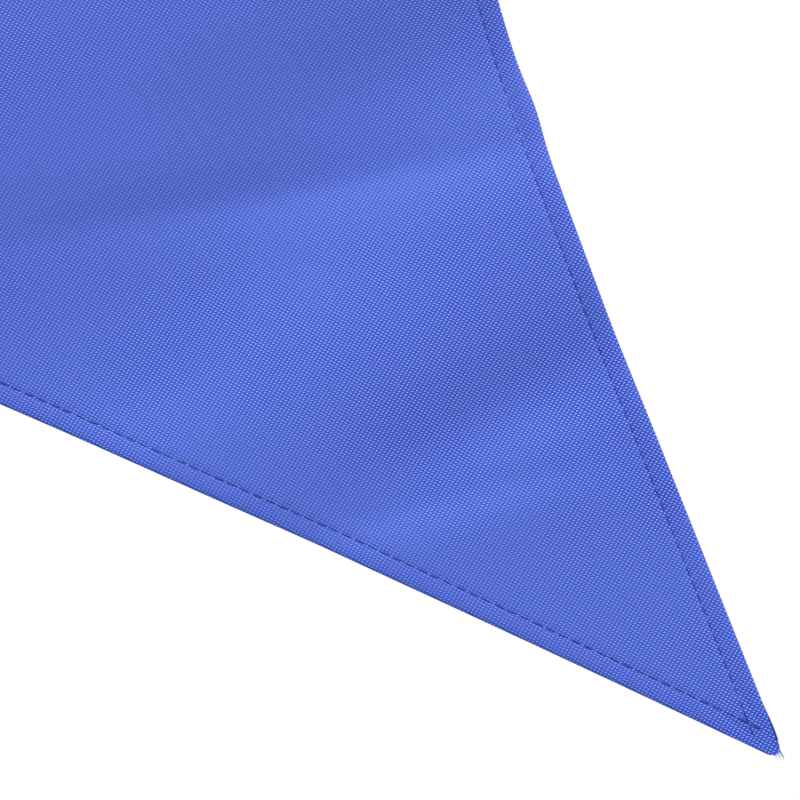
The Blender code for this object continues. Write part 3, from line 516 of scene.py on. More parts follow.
def sail_cloth():
    """Dyed polyester, plain weave, calendered, with a soft sheen; the floats are painted bright and the gaps
    painted dark, as light and shade would show the weave.
    """
    mat, tree, shader = new_material("woven_polyester", "#5771d4", 0.52, Specular_IOR_Level=0.30,
                                     Sheen_Weight=0.10, Sheen_Roughness=0.4)
    uv = add_node(tree, "ShaderNodeUVMap", uv_map="weave")
    scale = (UV_SPAN * math.pi / WEFT_PITCH, UV_SPAN * math.pi / WARP_PITCH, 0.0)
    weave = weave_factor(tree, uv, scale, 0.9, 300.0)
    place = add_node(tree, "ShaderNodeTexCoord")
    patch = add_node(tree, "ShaderNodeTexNoise", {"Vector": place.outputs["Object"], "Scale": 12.0,
                                                  "Detail": 2.0})
    away = add_node(tree, "ShaderNodeVectorMath", {0: place.outputs["Object"], 1: (TIP[0], 0.0, TIP[1])},
                    operation="DISTANCE")
    # painted light and shade: the weave's contrast, in colour and relief, is strongest near the tip and fades
    # with distance from it
    weave_contrast_falloff = add_node(tree, "ShaderNodeMapRange", {"Value": away.outputs["Value"], "From Min": 0.02,
                                                 "From Max": 0.24, "To Min": 1.15, "To Max": 0.62})
    # patches where the weave's painted light and shade is stronger or fainter
    crisp = add_node(tree, "ShaderNodeMapRange", {"Value": patch, "From Min": 0.40, "From Max": 0.58,
                                                  "To Min": 0.55, "To Max": 1.05})
    crisp = add_node(tree, "ShaderNodeMath", {0: crisp, 1: weave_contrast_falloff}, operation="MULTIPLY")
    depth = add_node(tree, "ShaderNodeMath", {0: weave, 1: crisp}, operation="MULTIPLY")
    hem = add_node(tree, "ShaderNodeUVMap", uv_map="hem")
    edge = add_node(tree, "ShaderNodeSeparateXYZ", {0: hem})
    # painted shade: the hem is a touch darker than the open cloth
    shade = add_node(tree, "ShaderNodeMapRange", {"Value": edge.outputs["Y"], "From Min": 0.0045 / UV_SPAN,
                                                  "From Max": 0.0054 / UV_SPAN, "To Min": 0.35,
                                                  "To Max": 0.37})
    # painted light and shade of the weave's relief: bright on the floats, middling on the crossing yarns, dark
    # in the gaps between
    floats = add_node(tree, "ShaderNodeMath", {0: depth}, operation="ABSOLUTE")
    under = add_node(tree, "ShaderNodeMath", {0: depth, 1: 0.60, 2: shade}, operation="MULTIPLY_ADD")
    under = add_node(tree, "ShaderNodeMath", {0: crisp, 1: -0.30, 2: under}, operation="MULTIPLY_ADD")
    share = add_node(tree, "ShaderNodeMath", {0: floats, 1: 0.80, 2: under}, operation="MULTIPLY_ADD",
                     use_clamp=True)
    colour = add_node(tree, "ShaderNodeMixRGB", {"Fac": share, "Color1": linear("#0a2eb4"),
                                                 "Color2": linear("#86a5ff")})
    tree.links.new(colour.outputs[0], shader.inputs["Base Color"])
    # the cloth puckers between the stitches
    wave = add_node(tree, "ShaderNodeMath", {0: edge.outputs["X"], 1: UV_SPAN * 2 * math.pi / STITCH_PITCH},
                    operation="MULTIPLY")
    wave = add_node(tree, "ShaderNodeMath", {0: wave}, operation="COSINE")
    inset = add_node(tree, "ShaderNodeMath", {0: edge.outputs["Y"], 1: HEM_WIDTH / UV_SPAN},
                     operation="SUBTRACT")
    inset = add_node(tree, "ShaderNodeMath", {0: inset, 1: UV_SPAN / PUCKER_WIDTH}, operation="MULTIPLY")
    inset = add_node(tree, "ShaderNodeMath", {0: inset, 1: 2.0}, operation="POWER")
    inset = add_node(tree, "ShaderNodeMath", {0: inset, 1: -1.0}, operation="MULTIPLY")
    fade = add_node(tree, "ShaderNodeMath", {0: inset}, operation="EXPONENT")
    pucker = add_node(tree, "ShaderNodeMath", {0: wave, 1: fade}, operation="MULTIPLY")
    pucker = add_node(tree, "ShaderNodeMath", {0: pucker, 1: 1.2}, operation="MULTIPLY")
    height = add_node(tree, "ShaderNodeMath", {0: depth, 1: pucker}, operation="ADD")
    bump = add_node(tree, "ShaderNodeBump", {"Height": height, "Strength": 0.6, "Distance": 0.00006})
    tree.links.new(bump.outputs[0], shader.inputs["Normal"])
    return mat


def plain_weave(name, dark, light, pitch, roughness, depth=0.00012, jitter=0.7):
    """A woven cloth or tape whose yarns follow its own UV map."""
    mat, tree, shader = new_material(name, light, roughness, Specular_IOR_Level=0.25, Sheen_Weight=0.15)
    uv = add_node(tree, "ShaderNodeUVMap", uv_map="weave")
    scale = (UV_SPAN * math.pi / pitch[0], UV_SPAN * math.pi / pitch[1], 0.0)
    weave = weave_factor(tree, uv, scale, jitter, 250.0)
    share = add_node(tree, "ShaderNodeMapRange", {"Value": weave, "From Min": -0.8, "From Max": 0.9})
    colour = add_node(tree, "ShaderNodeMixRGB", {"Fac": share, "Color1": linear(dark),
                                                 "Color2": linear(light)})
    tree.links.new(colour.outputs[0], shader.inputs["Base Color"])
    bump = add_node(tree, "ShaderNodeBump", {"Height": weave, "Strength": 0.7, "Distance": depth})
    tree.links.new(bump.outputs[0], shader.inputs["Normal"])
    return mat


def braid():
    """Braided polyester over a rubber core: diamonds of slanting strands."""
    mat, tree, shader = new_material("braided_elastic", "#1b1b1e", 0.62, Sheen_Weight=0.2)
    uv = add_node(tree, "ShaderNodeUVMap", uv_map="weave")
    parts = add_node(tree, "ShaderNodeSeparateXYZ", {0: uv})
    round_it = add_node(tree, "ShaderNodeMath", {0: parts.outputs["Y"], 1: 2 * math.pi * BRAID_STRANDS / 2},
                        operation="MULTIPLY")
    along = add_node(tree, "ShaderNodeMath", {0: parts.outputs["X"], 1: UV_SPAN * math.pi / BRAID_PITCH},
                     operation="MULTIPLY")
    left = add_node(tree, "ShaderNodeMath", {0: round_it, 1: along}, operation="ADD")
    right = add_node(tree, "ShaderNodeMath", {0: round_it, 1: along}, operation="SUBTRACT")
    left = add_node(tree, "ShaderNodeMath", {0: left}, operation="SINE")
    right = add_node(tree, "ShaderNodeMath", {0: right}, operation="SINE")
    weave = add_node(tree, "ShaderNodeMath", {0: left, 1: right}, operation="MULTIPLY")
    share = add_node(tree, "ShaderNodeMapRange", {"Value": weave, "From Min": -0.9, "From Max": 0.9})
    colour = add_node(tree, "ShaderNodeMixRGB", {"Fac": share, "Color1": linear("#0d0d10"),
                                                 "Color2": linear("#35353b")})
    tree.links.new(colour.outputs[0], shader.inputs["Base Color"])
    bump = add_node(tree, "ShaderNodeBump", {"Height": weave, "Strength": 0.8, "Distance": 0.00015})
    tree.links.new(bump.outputs[0], shader.inputs["Normal"])
    return mat


def surface(name, dark, light, roughness, metallic=0.0, grain=600.0, stretch=(1, 1, 1), rough_span=0.12,
            relief=0.00002, **sockets):
    """A plain finish with fine grain in its colour, gloss and relief."""
    mat, tree, shader = new_material(name, light, roughness, **sockets)
    shader.inputs["Metallic"].default_value = metallic
    place = add_node(tree, "ShaderNodeTexCoord")
    scaled = add_node(tree, "ShaderNodeMapping", {"Vector": place.outputs["Object"], "Scale": stretch})
    noise = add_node(tree, "ShaderNodeTexNoise", {"Vector": scaled, "Scale": grain, "Detail": 3.0})
    cloud = add_node(tree, "ShaderNodeTexNoise", {"Vector": place.outputs["Object"], "Scale": 35.0,
                                                  "Detail": 3.0})
    both = add_node(tree, "ShaderNodeMath", {0: noise, 1: cloud}, operation="ADD")
    share = add_node(tree, "ShaderNodeMapRange", {"Value": both, "From Min": 0.7, "From Max": 1.3})
    colour = add_node(tree, "ShaderNodeMixRGB", {"Fac": share, "Color1": linear(dark),
                                                 "Color2": linear(light)})
    tree.links.new(colour.outputs[0], shader.inputs["Base Color"])
    gloss = add_node(tree, "ShaderNodeMapRange", {"Value": both, "From Min": 0.7, "From Max": 1.3,
                                                  "To Min": roughness - rough_span / 2,
                                                  "To Max": roughness + rough_span / 2})
    tree.links.new(gloss.outputs[0], shader.inputs["Roughness"])
    bump = add_node(tree, "ShaderNodeBump", {"Height": noise, "Strength": 0.5, "Distance": relief})
    tree.links.new(bump.outputs[0], shader.inputs["Normal"])
    return mat


SAIL_CLOTH = sail_cloth()
# Spun polyester thread: matt, a shade darker than the cloth.
THREAD = surface("sewing_thread", "#0f2480", "#2450a8", 0.65, grain=2500.0, relief=0.00004)
# Heavier bonded thread, the sail's own blue, so that it shows on the webbing.
BONDED_THREAD = surface("bonded_thread", "#3350b8", "#5f80e6", 0.55, grain=2500.0, relief=0.00004)
# Raw yarn ends: undyed core, nearly see-through where they spread.
FRAY = surface("frayed_yarn", "#8fa3d4", "#dfe6f4", 0.7, grain=1500.0)
# Heavier oxford cloth for the sleeve: coarse and darker.
SLEEVE_CLOTH = plain_weave("oxford_cloth", "#0f1d5c", "#2c45a4", (0.0009, 0.0008), 0.65)
# Woven polypropylene webbing: flat ribs across, a dull shine.
WEBBING = plain_weave("woven_webbing", "#0c0d10", "#33363d", (0.0018, 0.0011), 0.6, depth=0.0003, jitter=0.3)
BRAID = braid()
# Drawn aluminium, clear anodised: fine lines along the tube.
POLE_ALLOY = surface("anodised_aluminium", "#9b9da1", "#d4d6da", 0.34, 1.0, 900.0, (1, 1, 0.02))
# Pultruded glass fibre with a dark resin skin: long faint fibres.
GLASS_FIBRE = surface("pultruded_glass_fibre", "#131417", "#2b2d33", 0.36, 0.0, 900.0, (1, 1, 0.02))
# Nickel-plated steel: bright, barely clouded.
NICKEL = surface("nickel_plated_steel", "#b3b2ae", "#e2e0da", 0.2, 1.0, 500.0, rough_span=0.08)
# Zinc-plated steel: grey with a soft mottle.
ZINC = surface("zinc_plated_steel", "#8f9193", "#cdd0d2", 0.34, 1.0, 450.0, rough_span=0.18)
# Pressed brass: warm, with dull spots in the plating.
BRASS = surface("pressed_brass", "#9a7336", "#e3bb6a", 0.26, 1.0, 400.0, rough_span=0.14)
# Black powder coat: fine orange peel, half matt.
POWDER = surface("powder_coated_steel", "#0e0e10", "#26272a", 0.48, 0.0, 1400.0, relief=0.00008)
# Moulded nylon: smooth, slightly waxy.
BLACK_NYLON = surface("moulded_black_nylon", "#121214", "#242528", 0.45, 0.0, 500.0)
WHITE_NYLON = surface("moulded_white_nylon", "#cfccc2", "#efede5", 0.42, 0.0, 500.0)
# Moulded rubber: matt, faintly dusty.
RUBBER = surface("moulded_rubber", "#0b0b0c", "#232325", 0.82, 0.0, 900.0, relief=0.00006)


# ---------------------------------------------------------------- sail
# The hem's section: distance in from the fold, and depth behind the front layer.
HEM_SECTION = (
    (HEM_FLAP, HEM_DEPTH + 0.00004), (0.0042, HEM_DEPTH), (0.0020, HEM_DEPTH + 0.00006),
    (0.00060, HEM_DEPTH + 0.00004), (0.00020, 0.00050), (0.0, 0.00026), (0.00016, 0.00004),
    (0.00060, -0.00007), (0.0020, -0.00011), (0.0038, -0.00006), (0.0046, 0.00003), (0.0050, 0.00009),
    (0.0055, 0.00002), (0.0066, -0.00006), (0.0085, 0.0),
)
# The same columns where the edge is sewn flat into the sleeve.
SEAM_SECTION = (-0.0018, -0.0015, -0.0012, -0.0009, -0.0006, -0.0003, 0.0, 0.0006, 0.0020, 0.0038, 0.0046,
                0.0050, 0.0055, 0.0066, 0.0085)
TIP_ROUND = 0.0018
TIP_PINCH = 0.9              # share of the tip's width that its rounding takes off
HEM_FILL = 0.96              # share of a narrow row that the two hems may fill
LEAST_SLANT = 0.35           # least sine of the angle between a hem and a row across it
PLAIN_COLUMNS = 46           # columns between the hems
FINE_RUN = 0.26              # the corner's rows are close together up to here
FINE_ROW = 0.0020
WIDE_ROW = 0.005
SEAM_ROWS = 250


def sail_rows():
    """Distances of the rows from the tip, along the free edge and along the pole-side edge."""
    tip = np.array([0.0, 0.0002, 0.0005, 0.0009, 0.0014])
    fine = np.arange(FINE_ROW, FINE_RUN, FINE_ROW)
    middle = np.arange(FINE_RUN, MOUTH_RUN, WIDE_ROW)
    low = np.concatenate([tip, fine, middle])
    rest = np.linspace(0.0, 1.0, SEAM_ROWS)
    left = np.concatenate([low, MOUTH_RUN + (FREE_SIDE_LENGTH - MOUTH_RUN) * rest])
    right = np.concatenate([low, MOUTH_RUN + SEAM_LENGTH * rest])
    return left, right


def sail_places():
    """The sail's grid: its points' places, and their distances along the nearer hem and in from its fold."""
    left_s, right_s = sail_rows()
    lx, lz = FREE_EDGE.at(left_s)
    rx, rz = right_edge(right_s)
    width = np.hypot(rx - lx, rz - lz)
    ux, uz = (rx - lx) / width, (rz - lz) / width
    # the last rows draw in, so the tip is rounded off
    drawn_in = 1.0 - np.sqrt(np.clip(1.0 - (left_s / TIP_ROUND - 1.0) ** 2, 0.0, 1.0))
    pinch = np.where(left_s < TIP_ROUND, drawn_in, 0.0) * TIP_PINCH
    lx, rx = lx + ux * pinch * width / 2, rx - ux * pinch * width / 2
    width = np.hypot(rx - lx, rz - lz)
    hx, hz = FREE_EDGE.heading(left_s)
    left_slant = np.clip(np.abs(hx * uz - hz * ux), LEAST_SLANT, 1.0)
    tx, tz = POLE_EDGE.heading(np.minimum(right_s, MOUTH_RUN))
    right_slant = np.clip(np.abs(tx * uz - tz * ux), LEAST_SLANT, 1.0)
    # the hem opens out into the seam just below the sleeve's mouth
    seam = smooth((right_s - MOUTH_RUN + 0.010) / 0.014)
    hem_in, depth = np.array(HEM_SECTION).T
    inset_left = hem_in[None] / left_slant[:, None]
    hem_right = hem_in[None] / right_slant[:, None]
    inset_right = hem_right * (1 - seam[:, None]) + np.array(SEAM_SECTION)[None] * seam[:, None]
    squeeze = np.minimum(1.0, width / (inset_left[:, -1] + inset_right[:, -1]) * HEM_FILL)[:, None]
    inset_left, inset_right = inset_left * squeeze, inset_right * squeeze
    shares = np.linspace(0.0, 1.0, PLAIN_COLUMNS + 2)[1:-1]
    start, end = inset_left[:, -1:], width[:, None] - inset_right[:, -1:]
    across = np.concatenate([inset_left, start + (end - start) * shares[None],
                             width[:, None] - inset_right[:, ::-1]], 1)
    deep = np.concatenate([depth[None] * squeeze, np.zeros((len(width), PLAIN_COLUMNS)),
                           depth[None, ::-1] * (1 - seam[:, None]) * squeeze], 1)
    x = lx[:, None] + ux[:, None] * across
    z = lz[:, None] + uz[:, None] * across
    hem_along = np.where(across < width[:, None] / 2, left_s[:, None], right_s[:, None])
    inset = np.minimum(across * left_slant[:, None], (width[:, None] - across) * right_slant[:, None])
    places = np.stack([x, rise(x, z) + deep, z], 2)
    return places, hem_along, inset


def weave_map(x, z):
    """Cloth coordinates along the two yarn directions, as shares of UV_SPAN."""
    basis = np.array([[WEFT.x, WARP.x], [WEFT.z, WARP.z]])
    inverse = np.linalg.inv(basis)
    a = inverse[0, 0] * x + inverse[0, 1] * z
    b = inverse[1, 0] * x + inverse[1, 1] * z
    return np.stack([a / UV_SPAN + 0.5, b / UV_SPAN + 0.5], -1)


def make_sail():
    places, along, inset = sail_places()
    maps = {"weave": weave_map(places[..., 0], places[..., 2]),
            "hem": np.stack([along / UV_SPAN, np.maximum(inset, 0.0) / UV_SPAN], -1)}
    mesh = laid_grid("sail_cloth", places, maps)
    sail = add_piece("sail_cloth", mesh, SAIL_CLOTH, "flag", ["sail_panel"], sharp=180)
    thicken(sail, CLOTH)
    return sail


def cut_panel():
    """The panel as cut: its width and length, and its area with the hems laid open."""
    left_s, right_s = sail_rows()
    lx, lz = FREE_EDGE.at(left_s)
    rx, rz = right_edge(right_s)
    x, z = np.concatenate([lx, rx[::-1]]), np.concatenate([lz, rz[::-1]])
    inside = abs(float(np.sum(x * np.roll(z, -1) - np.roll(x, -1) * z))) / 2
    hems = HEM_FLAP * (FREE_SIDE_LENGTH + MOUTH_RUN)
    return (float(np.ptp(x)) + HEM_FLAP, float(np.ptp(z)) + HEM_FLAP), inside + hems


# ---------------------------------------------------------------- stitching
HEM_GROOVE = 0.00008         # how deep the stitches press the front layer in
CROSSING_RUN = 0.0150        # the two hems lie over each other up to here from the tip
CROSSING_EASE = 0.002
CROSSING_RISE = 0.00013      # how far the other hem's fold lifts the thread there
TIP_THREAD_RUN = (0.0088, 0.0026)
TIP_THREAD_RADII = (0.00016, 0.00024)
TIP_THREAD_POINTS = 14
FRAYED_YARNS = 9
YARN_RADIUS = 0.00010
YARN_LENGTH = 0.0030
YARN_SPREAD = 0.0010         # of the yarns' lengths, and of their roots across the tip
TAIL_LENGTH = 0.0040
TAIL_WAVE = 0.0004
TAIL_RADIUS = 0.00013


def stitch_row(points, normal, pitch=STITCH_PITCH, cover=0.80, radius=THREAD_RADIUS, seed=1):
    """One row of thread along points on the cloth: it swells over each stitch and dives between them."""
    rng = np.random.default_rng(seed)
    points, normal = np.asarray(points, float), np.asarray(normal, float)
    run = np.concatenate([[0.0], np.cumsum(np.linalg.norm(np.diff(points, axis=0), axis=1))])
    ahead = np.gradient(points, run, axis=0)
    count = int(run[-1] / pitch)
    # one stitch, ring by ring: its place along the stitch, how far it fills out, and how far it sinks
    share = np.array([-0.50, -0.40, -0.16, 0.16, 0.40, 0.50])
    swell = np.array([0.30, 0.85, 1.00, 1.00, 0.85, 0.30])
    sink = np.array([1.30, 0.40, 0.00, 0.00, 0.40, 1.30])
    middle = (np.arange(count) + 0.5 + rng.uniform(-0.05, 0.05, count)) * pitch
    reach = share[None] * (cover * pitch * rng.uniform(0.92, 1.04, count))[:, None]
    lean = (reach * rng.uniform(-0.08, 0.08, count)[:, None]).ravel()
    at = (middle[:, None] + reach).ravel()
    centre = np.stack([np.interp(at, run, points[:, k]) for k in range(3)], 1)
    heading = np.stack([np.interp(at, run, ahead[:, k]) for k in range(3)], 1)
    side = np.cross(normal, heading)
    side /= np.linalg.norm(side, axis=1, keepdims=True)
    centre = centre + side * lean[:, None] - normal * (np.tile(sink, count) * radius)[:, None]
    turn = np.linspace(0.0, 2 * math.pi, 7)[None, :, None]
    ring = side[:, None] * np.cos(turn) + normal * np.sin(turn)
    places = centre[:, None] + ring * (np.tile(swell, count) * radius)[:, None, None]
    return weld(laid_grid("row", places), cap=True)


def joined(name, meshes):
    """One mesh of several, which it uses up."""
    bm = bmesh.new()
    for mesh in meshes:
        bm.from_mesh(mesh)
        bpy.data.meshes.remove(mesh)
    return mesh_of(name, bm)


def sew(name, rows, thread):
    """Joins rows of stitches into one piece of the flag."""
    add_piece(name, joined(name, rows), thread, "flag", sharp=180)


def leaf_rows(s, offsets, out, pitch, radius, seed):
    """Rows of stitches on both faces of the sleeve's leaves, at distances from the pole's line."""
    rows = []
    for offset in offsets:
        x, z = POLE.beside(s, offset)
        for face in (-1, 1):
            points = np.stack([x, np.full_like(x, face * out), z], 1)
            rows.append(stitch_row(points, (0, face, 0), pitch, radius=radius, seed=seed))
    return rows


def hem_line(edge, side, start, end, front):
    """Points of the stitch line inside an edge, on the front or the back of the cloth."""
    s = np.arange(start, end, 0.0010)
    x, z = edge.at(s)
    dx, dz = edge.heading(s)
    x, z = x - side * dz * HEM_WIDTH, z + side * dx * HEM_WIDTH
    # the line lies in its groove, and over the other hem's fold where the two cross
    over = smooth((CROSSING_RUN - s) / CROSSING_EASE)
    groove = HEM_GROOVE - CLOTH / 2 - THREAD_RADIUS * 0.25
    pressed = groove + (-CROSSING_RISE - CLOTH / 2 - groove) * over
    if not front:
        pressed = HEM_DEPTH + CLOTH / 2 + THREAD_RADIUS * 0.25
    return np.stack([x, rise(x, z) + pressed, z], 1)


def make_hem_stitching():
    """The needle's rows on the front of both hems, and the bobbin's on the back."""
    first = HEM_WIDTH / math.tan(2 * POLE_SIDE_ANGLE) + 0.0002
    for front, name in ((True, "hem_stitching"), (False, "hem_bobbin_thread")):
        normal = (0, -1 if front else 1, 0)
        free = hem_line(FREE_EDGE, -1, first, FREE_SIDE_LENGTH - 0.012, front)
        pole = hem_line(POLE_EDGE, 1, first, MOUTH_RUN - 0.004, front)
        rows = [stitch_row(free, normal, cover=0.98, radius=THREAD_RADIUS * 1.05, seed=3),
                stitch_row(pole, normal, cover=0.90, radius=THREAD_RADIUS * 0.90, seed=5)]
        sew(name, rows, THREAD)


def tube_mesh(name, points, radii, sides=10, closed=False, mapped=False, cap=True):
    """A round tube along 3-D points, with a radius at each."""
    points = np.asarray(points, float)
    radii = np.broadcast_to(np.asarray(radii, float), (len(points),))
    if closed:
        ahead = np.roll(points, -1, 0) - np.roll(points, 1, 0)
    else:
        ahead = np.gradient(points, axis=0)
    ahead /= np.linalg.norm(ahead, axis=1, keepdims=True)
    # each ring's start is the last one's, turned as little as the line turns
    side = np.cross(ahead[0], (0.3, 0.9, 0.1))
    starts = []
    for heading in ahead:
        side = side - heading * (side @ heading)
        side /= np.linalg.norm(side)
        starts.append(side.copy())
    side = np.array(starts)
    other = np.cross(ahead, side)
    turn = np.linspace(0.0, 2 * math.pi, sides + 1)
    ring = side[:, None] * np.cos(turn)[None, :, None] + other[:, None] * np.sin(turn)[None, :, None]
    places = points[:, None] + ring * radii[:, None, None]
    run = np.concatenate([[0.0], np.cumsum(np.linalg.norm(np.diff(points, axis=0), axis=1))])
    if closed:
        places = np.concatenate([places, places[:1]])
        run = np.append(run, run[-1] + np.linalg.norm(points[0] - points[-1]))
    maps = None
    if mapped:
        u = np.broadcast_to(run[:, None] / UV_SPAN, places.shape[:2])
        v = np.broadcast_to(turn[None] / (2 * math.pi), places.shape[:2])
        maps = {"weave": np.stack([u, v], -1)}
    return weld(laid_grid(name, places, maps), cap=cap and not closed)


def make_tip_details():
    """Thread ends and frayed yarns that show at the folded tip."""
    x, z = POLE_EDGE.at(np.linspace(*TIP_THREAD_RUN, TIP_THREAD_POINTS))
    x = x + 0.00006 + 0.00014 * np.sin(np.linspace(0, math.pi, TIP_THREAD_POINTS))
    points = np.stack([x, np.full(TIP_THREAD_POINTS, -0.00012) + rise(x, z), z], 1)
    mesh = tube_mesh("tip_thread", points, np.linspace(*TIP_THREAD_RADII, TIP_THREAD_POINTS), sides=8)
    add_piece("tip_thread", mesh, THREAD, "flag")
    strands = []
    rng = np.random.default_rng(11)
    depth = float(rise(np.array([TIP[0]]), np.array([TIP[1]]))[0])
    start = Vector((TIP[0] + 0.0006, depth + 0.0002, TIP[1] + 0.0016))
    lean = ACROSS * 0.42 - ALONG * 0.90
    for i in range(FRAYED_YARNS):
        fan = i / (FRAYED_YARNS - 1) - 0.5
        ahead = (lean + ACROSS * fan * 0.5).normalized()
        length = YARN_LENGTH + YARN_SPREAD * rng.uniform() - abs(fan) * YARN_SPREAD
        t = np.linspace(0.0, 1.0, 7)
        root = start + ACROSS * fan * YARN_SPREAD
        points = [root + ahead * length * k + Vector((0, 0.0002 * math.sin(3 * k + i), 0)) for k in t]
        strands.append(tube_mesh("strand", points, YARN_RADIUS * (1.0 - 0.5 * t), sides=5))
    add_piece("tip_frayed_yarns", joined("tip_frayed_yarns", strands), FRAY, "flag")
    t = np.linspace(0.0, 1.0, 9)
    root = Vector((TIP[0] + 0.0012, depth, TIP[1] + 0.0018))
    tail = [root + lean * TAIL_LENGTH * k + ACROSS * TAIL_WAVE * math.sin(2.4 * k) for k in t]
    mesh = tube_mesh("tip_thread_tail", tail, TAIL_RADIUS * (1.0 - 0.5 * t), sides=7)
    add_piece("tip_thread_tail", mesh, THREAD, "flag")


# ---------------------------------------------------------------- sleeve and pocket
SEAM_LEAF = 0.0090           # width of the sleeve's leaves over the sail
SLEEVE_CLOTH_THICK = 0.0005
LEAF_GAP = 0.0001            # between a leaf and the sail
LEAF_TURN = math.radians(38)  # where a leaf leaves the round of the sleeve
SLEEVE_STEP = 0.005
SLEEVE_OVERLAP = 0.010       # how far the sleeve goes into the pocket
SLEEVE_ROWS = (SLEEVE_RADIUS + 0.0048, SLEEVE_RADIUS + 0.0078)
POCKET_WEB = 0.0009
POCKET_STEP = 0.002
POCKET_LIP = 0.004           # how far the pocket's mouth stands below its start
POCKET_FLAT = 0.007          # the end is pressed flat over this much
POCKET_ROWS = (POCKET_RADIUS + 0.0045, POCKET_RADIUS + 0.0082)


def sleeve_section(radius):
    """A section through the sleeve: from one leaf's edge round the pole to the other's."""
    far = radius - SLEEVE_CLOTH_THICK / 2
    leaf = CLOTH / 2 + SLEEVE_CLOTH_THICK / 2 + LEAF_GAP
    points = [(radius + SEAM_LEAF, leaf), (radius + 0.0060, leaf), (radius + 0.0035, leaf + 0.0001),
              (radius + 0.0018, leaf + 0.0007), (radius + 0.0004, leaf + 0.0020)]
    points += [(far * math.cos(a), far * math.sin(a)) for a in np.linspace(LEAF_TURN, math.pi, 13)]
    half = np.array(points)
    return np.concatenate([half * (1, -1), half[::-1][1:]])


def swept(name, s, section, ripple, squash=None):
    """A section of (across, depth) points swept along the pole, and its girth."""
    x, z = POLE.at(s)
    dx, dz = POLE.heading(s)
    across = np.broadcast_to(section[None, :, 0], (len(s), len(section))).copy()
    depth = np.broadcast_to(section[None, :, 1], (len(s), len(section))).copy()
    grow = 1.0 + ripple
    across, depth = across * grow, depth * grow
    if squash is not None:
        depth = depth * squash[:, None]
    places = np.stack([x[:, None] - dz[:, None] * across, depth, z[:, None] + dx[:, None] * across], 2)
    girth = np.concatenate([[0.0], np.cumsum(np.linalg.norm(np.diff(section, axis=0), axis=1))])
    u = np.broadcast_to(np.asarray(s)[:, None] / UV_SPAN, across.shape)
    v = np.broadcast_to(girth[None] / UV_SPAN, across.shape)
    return laid_grid(name, places, {"weave": np.stack([u, v], -1)}), float(girth[-1])


def sleeve_ripple(s, section, amount):
    """Soft gathers: small, slow on the straight stretch, closer on the inside of the bend."""
    s = np.asarray(s)[:, None]
    angle = np.arctan2(section[:, 1], section[:, 0])[None]
    tube = smooth((0.0125 - np.abs(section[:, 0])[None]) / 0.004)
    slow = np.sin(s * 21.0 + 1.7 * np.cos(angle)) * np.sin(s * 8.3 + angle)
    close = np.sin(s * 330.0 + 2.0 * angle) * np.sin(s * 17.0 + 0.6) * (0.5 + 0.5 * np.cos(angle))
    return amount * tube * (0.6 * slow + 0.5 * close)


def make_sleeve():
    """The cloth tube along the curved edge, with its two leaves over the sail."""
    section = sleeve_section(SLEEVE_RADIUS)
    s = np.concatenate([MOUTH_HEIGHT + np.array([0.0, 0.002]),
                        np.arange(MOUTH_HEIGHT + SLEEVE_STEP, POCKET_START + SLEEVE_OVERLAP, SLEEVE_STEP)])
    mesh, girth = swept("sleeve_cloth", s, section, sleeve_ripple(s, section, 0.035))
    sleeve = add_piece("pole_sleeve_cloth", mesh, SLEEVE_CLOTH, "flag", ["pole_sleeve"],
                       sharp=180)
    thicken(sleeve, SLEEVE_CLOTH_THICK)


def make_pocket():
    """The reinforced end: webbing folded round the sleeve's end and sewn flat across."""
    section = sleeve_section(POCKET_RADIUS + 0.0007)
    s = np.arange(POCKET_START - POCKET_LIP, POCKET_TIP + 0.0005, POCKET_STEP)
    squash = 1.0 - 0.90 * smooth((s - (POCKET_TIP - POCKET_FLAT)) / 0.006)
    mesh, girth = swept("end_pocket", s, section, sleeve_ripple(s, section, 0.012), squash)
    pocket = add_piece("end_pocket", mesh, WEBBING, "flag", ["sleeve_end_pocket"], sharp=180)
    thicken(pocket, POCKET_WEB)


def make_sleeve_stitching():
    """Two rows through the seam's leaves on each side, and two through the pocket's."""
    s = np.arange(MOUTH_HEIGHT + 0.002, POCKET_START - 0.006, 0.004)
    out = CLOTH / 2 + SLEEVE_CLOTH_THICK + LEAF_GAP + THREAD_RADIUS * 0.4
    rows = leaf_rows(s, SLEEVE_ROWS, out, 0.0050, THREAD_RADIUS * 1.2, 20)
    sew("sleeve_stitching", rows, THREAD)
    s = np.arange(POCKET_START - 0.002, POCKET_TIP - 0.002, 0.003)
    out = CLOTH / 2 + 0.0011 + THREAD_RADIUS * 0.5
    rows = leaf_rows(s, POCKET_ROWS, out, STITCH_PITCH, THREAD_RADIUS, 31)
    sew("pocket_stitching", rows, BONDED_THREAD)


# ---------------------------------------------------------------- tab, grommet, cord
TAB_X = -(SLEEVE_RADIUS + 0.0030 + TAB_WIDTH / 2)
TAB_SLACK = 0.0005           # between the tab's leaves and the sail they are sewn to
TAB_SPREAD = 0.016           # run over which the leaves part
TAB_HOLE = 0.0052
TAB_SELVEDGE = 0.0003
TAB_STITCH = 0.0026
TAB_BAR_STITCH = 0.0020
TAB_THREAD_RADIUS = 0.00022
TAB_MARGIN = 0.0025          # from the webbing's edges to the sewn box
TAB_BARS = (0.0130, 0.0145)  # below the crotch
GROMMET_BORE = 0.0040
GROMMET_BARREL = 0.0050
GROMMET_SEAT = 0.0018        # half the webbing that the flanges grip
SPLICE_WALL = 0.0004
SPLICE_HALF = 0.005
SPLICE_HEIGHT = 0.42         # share of the loop's straight run


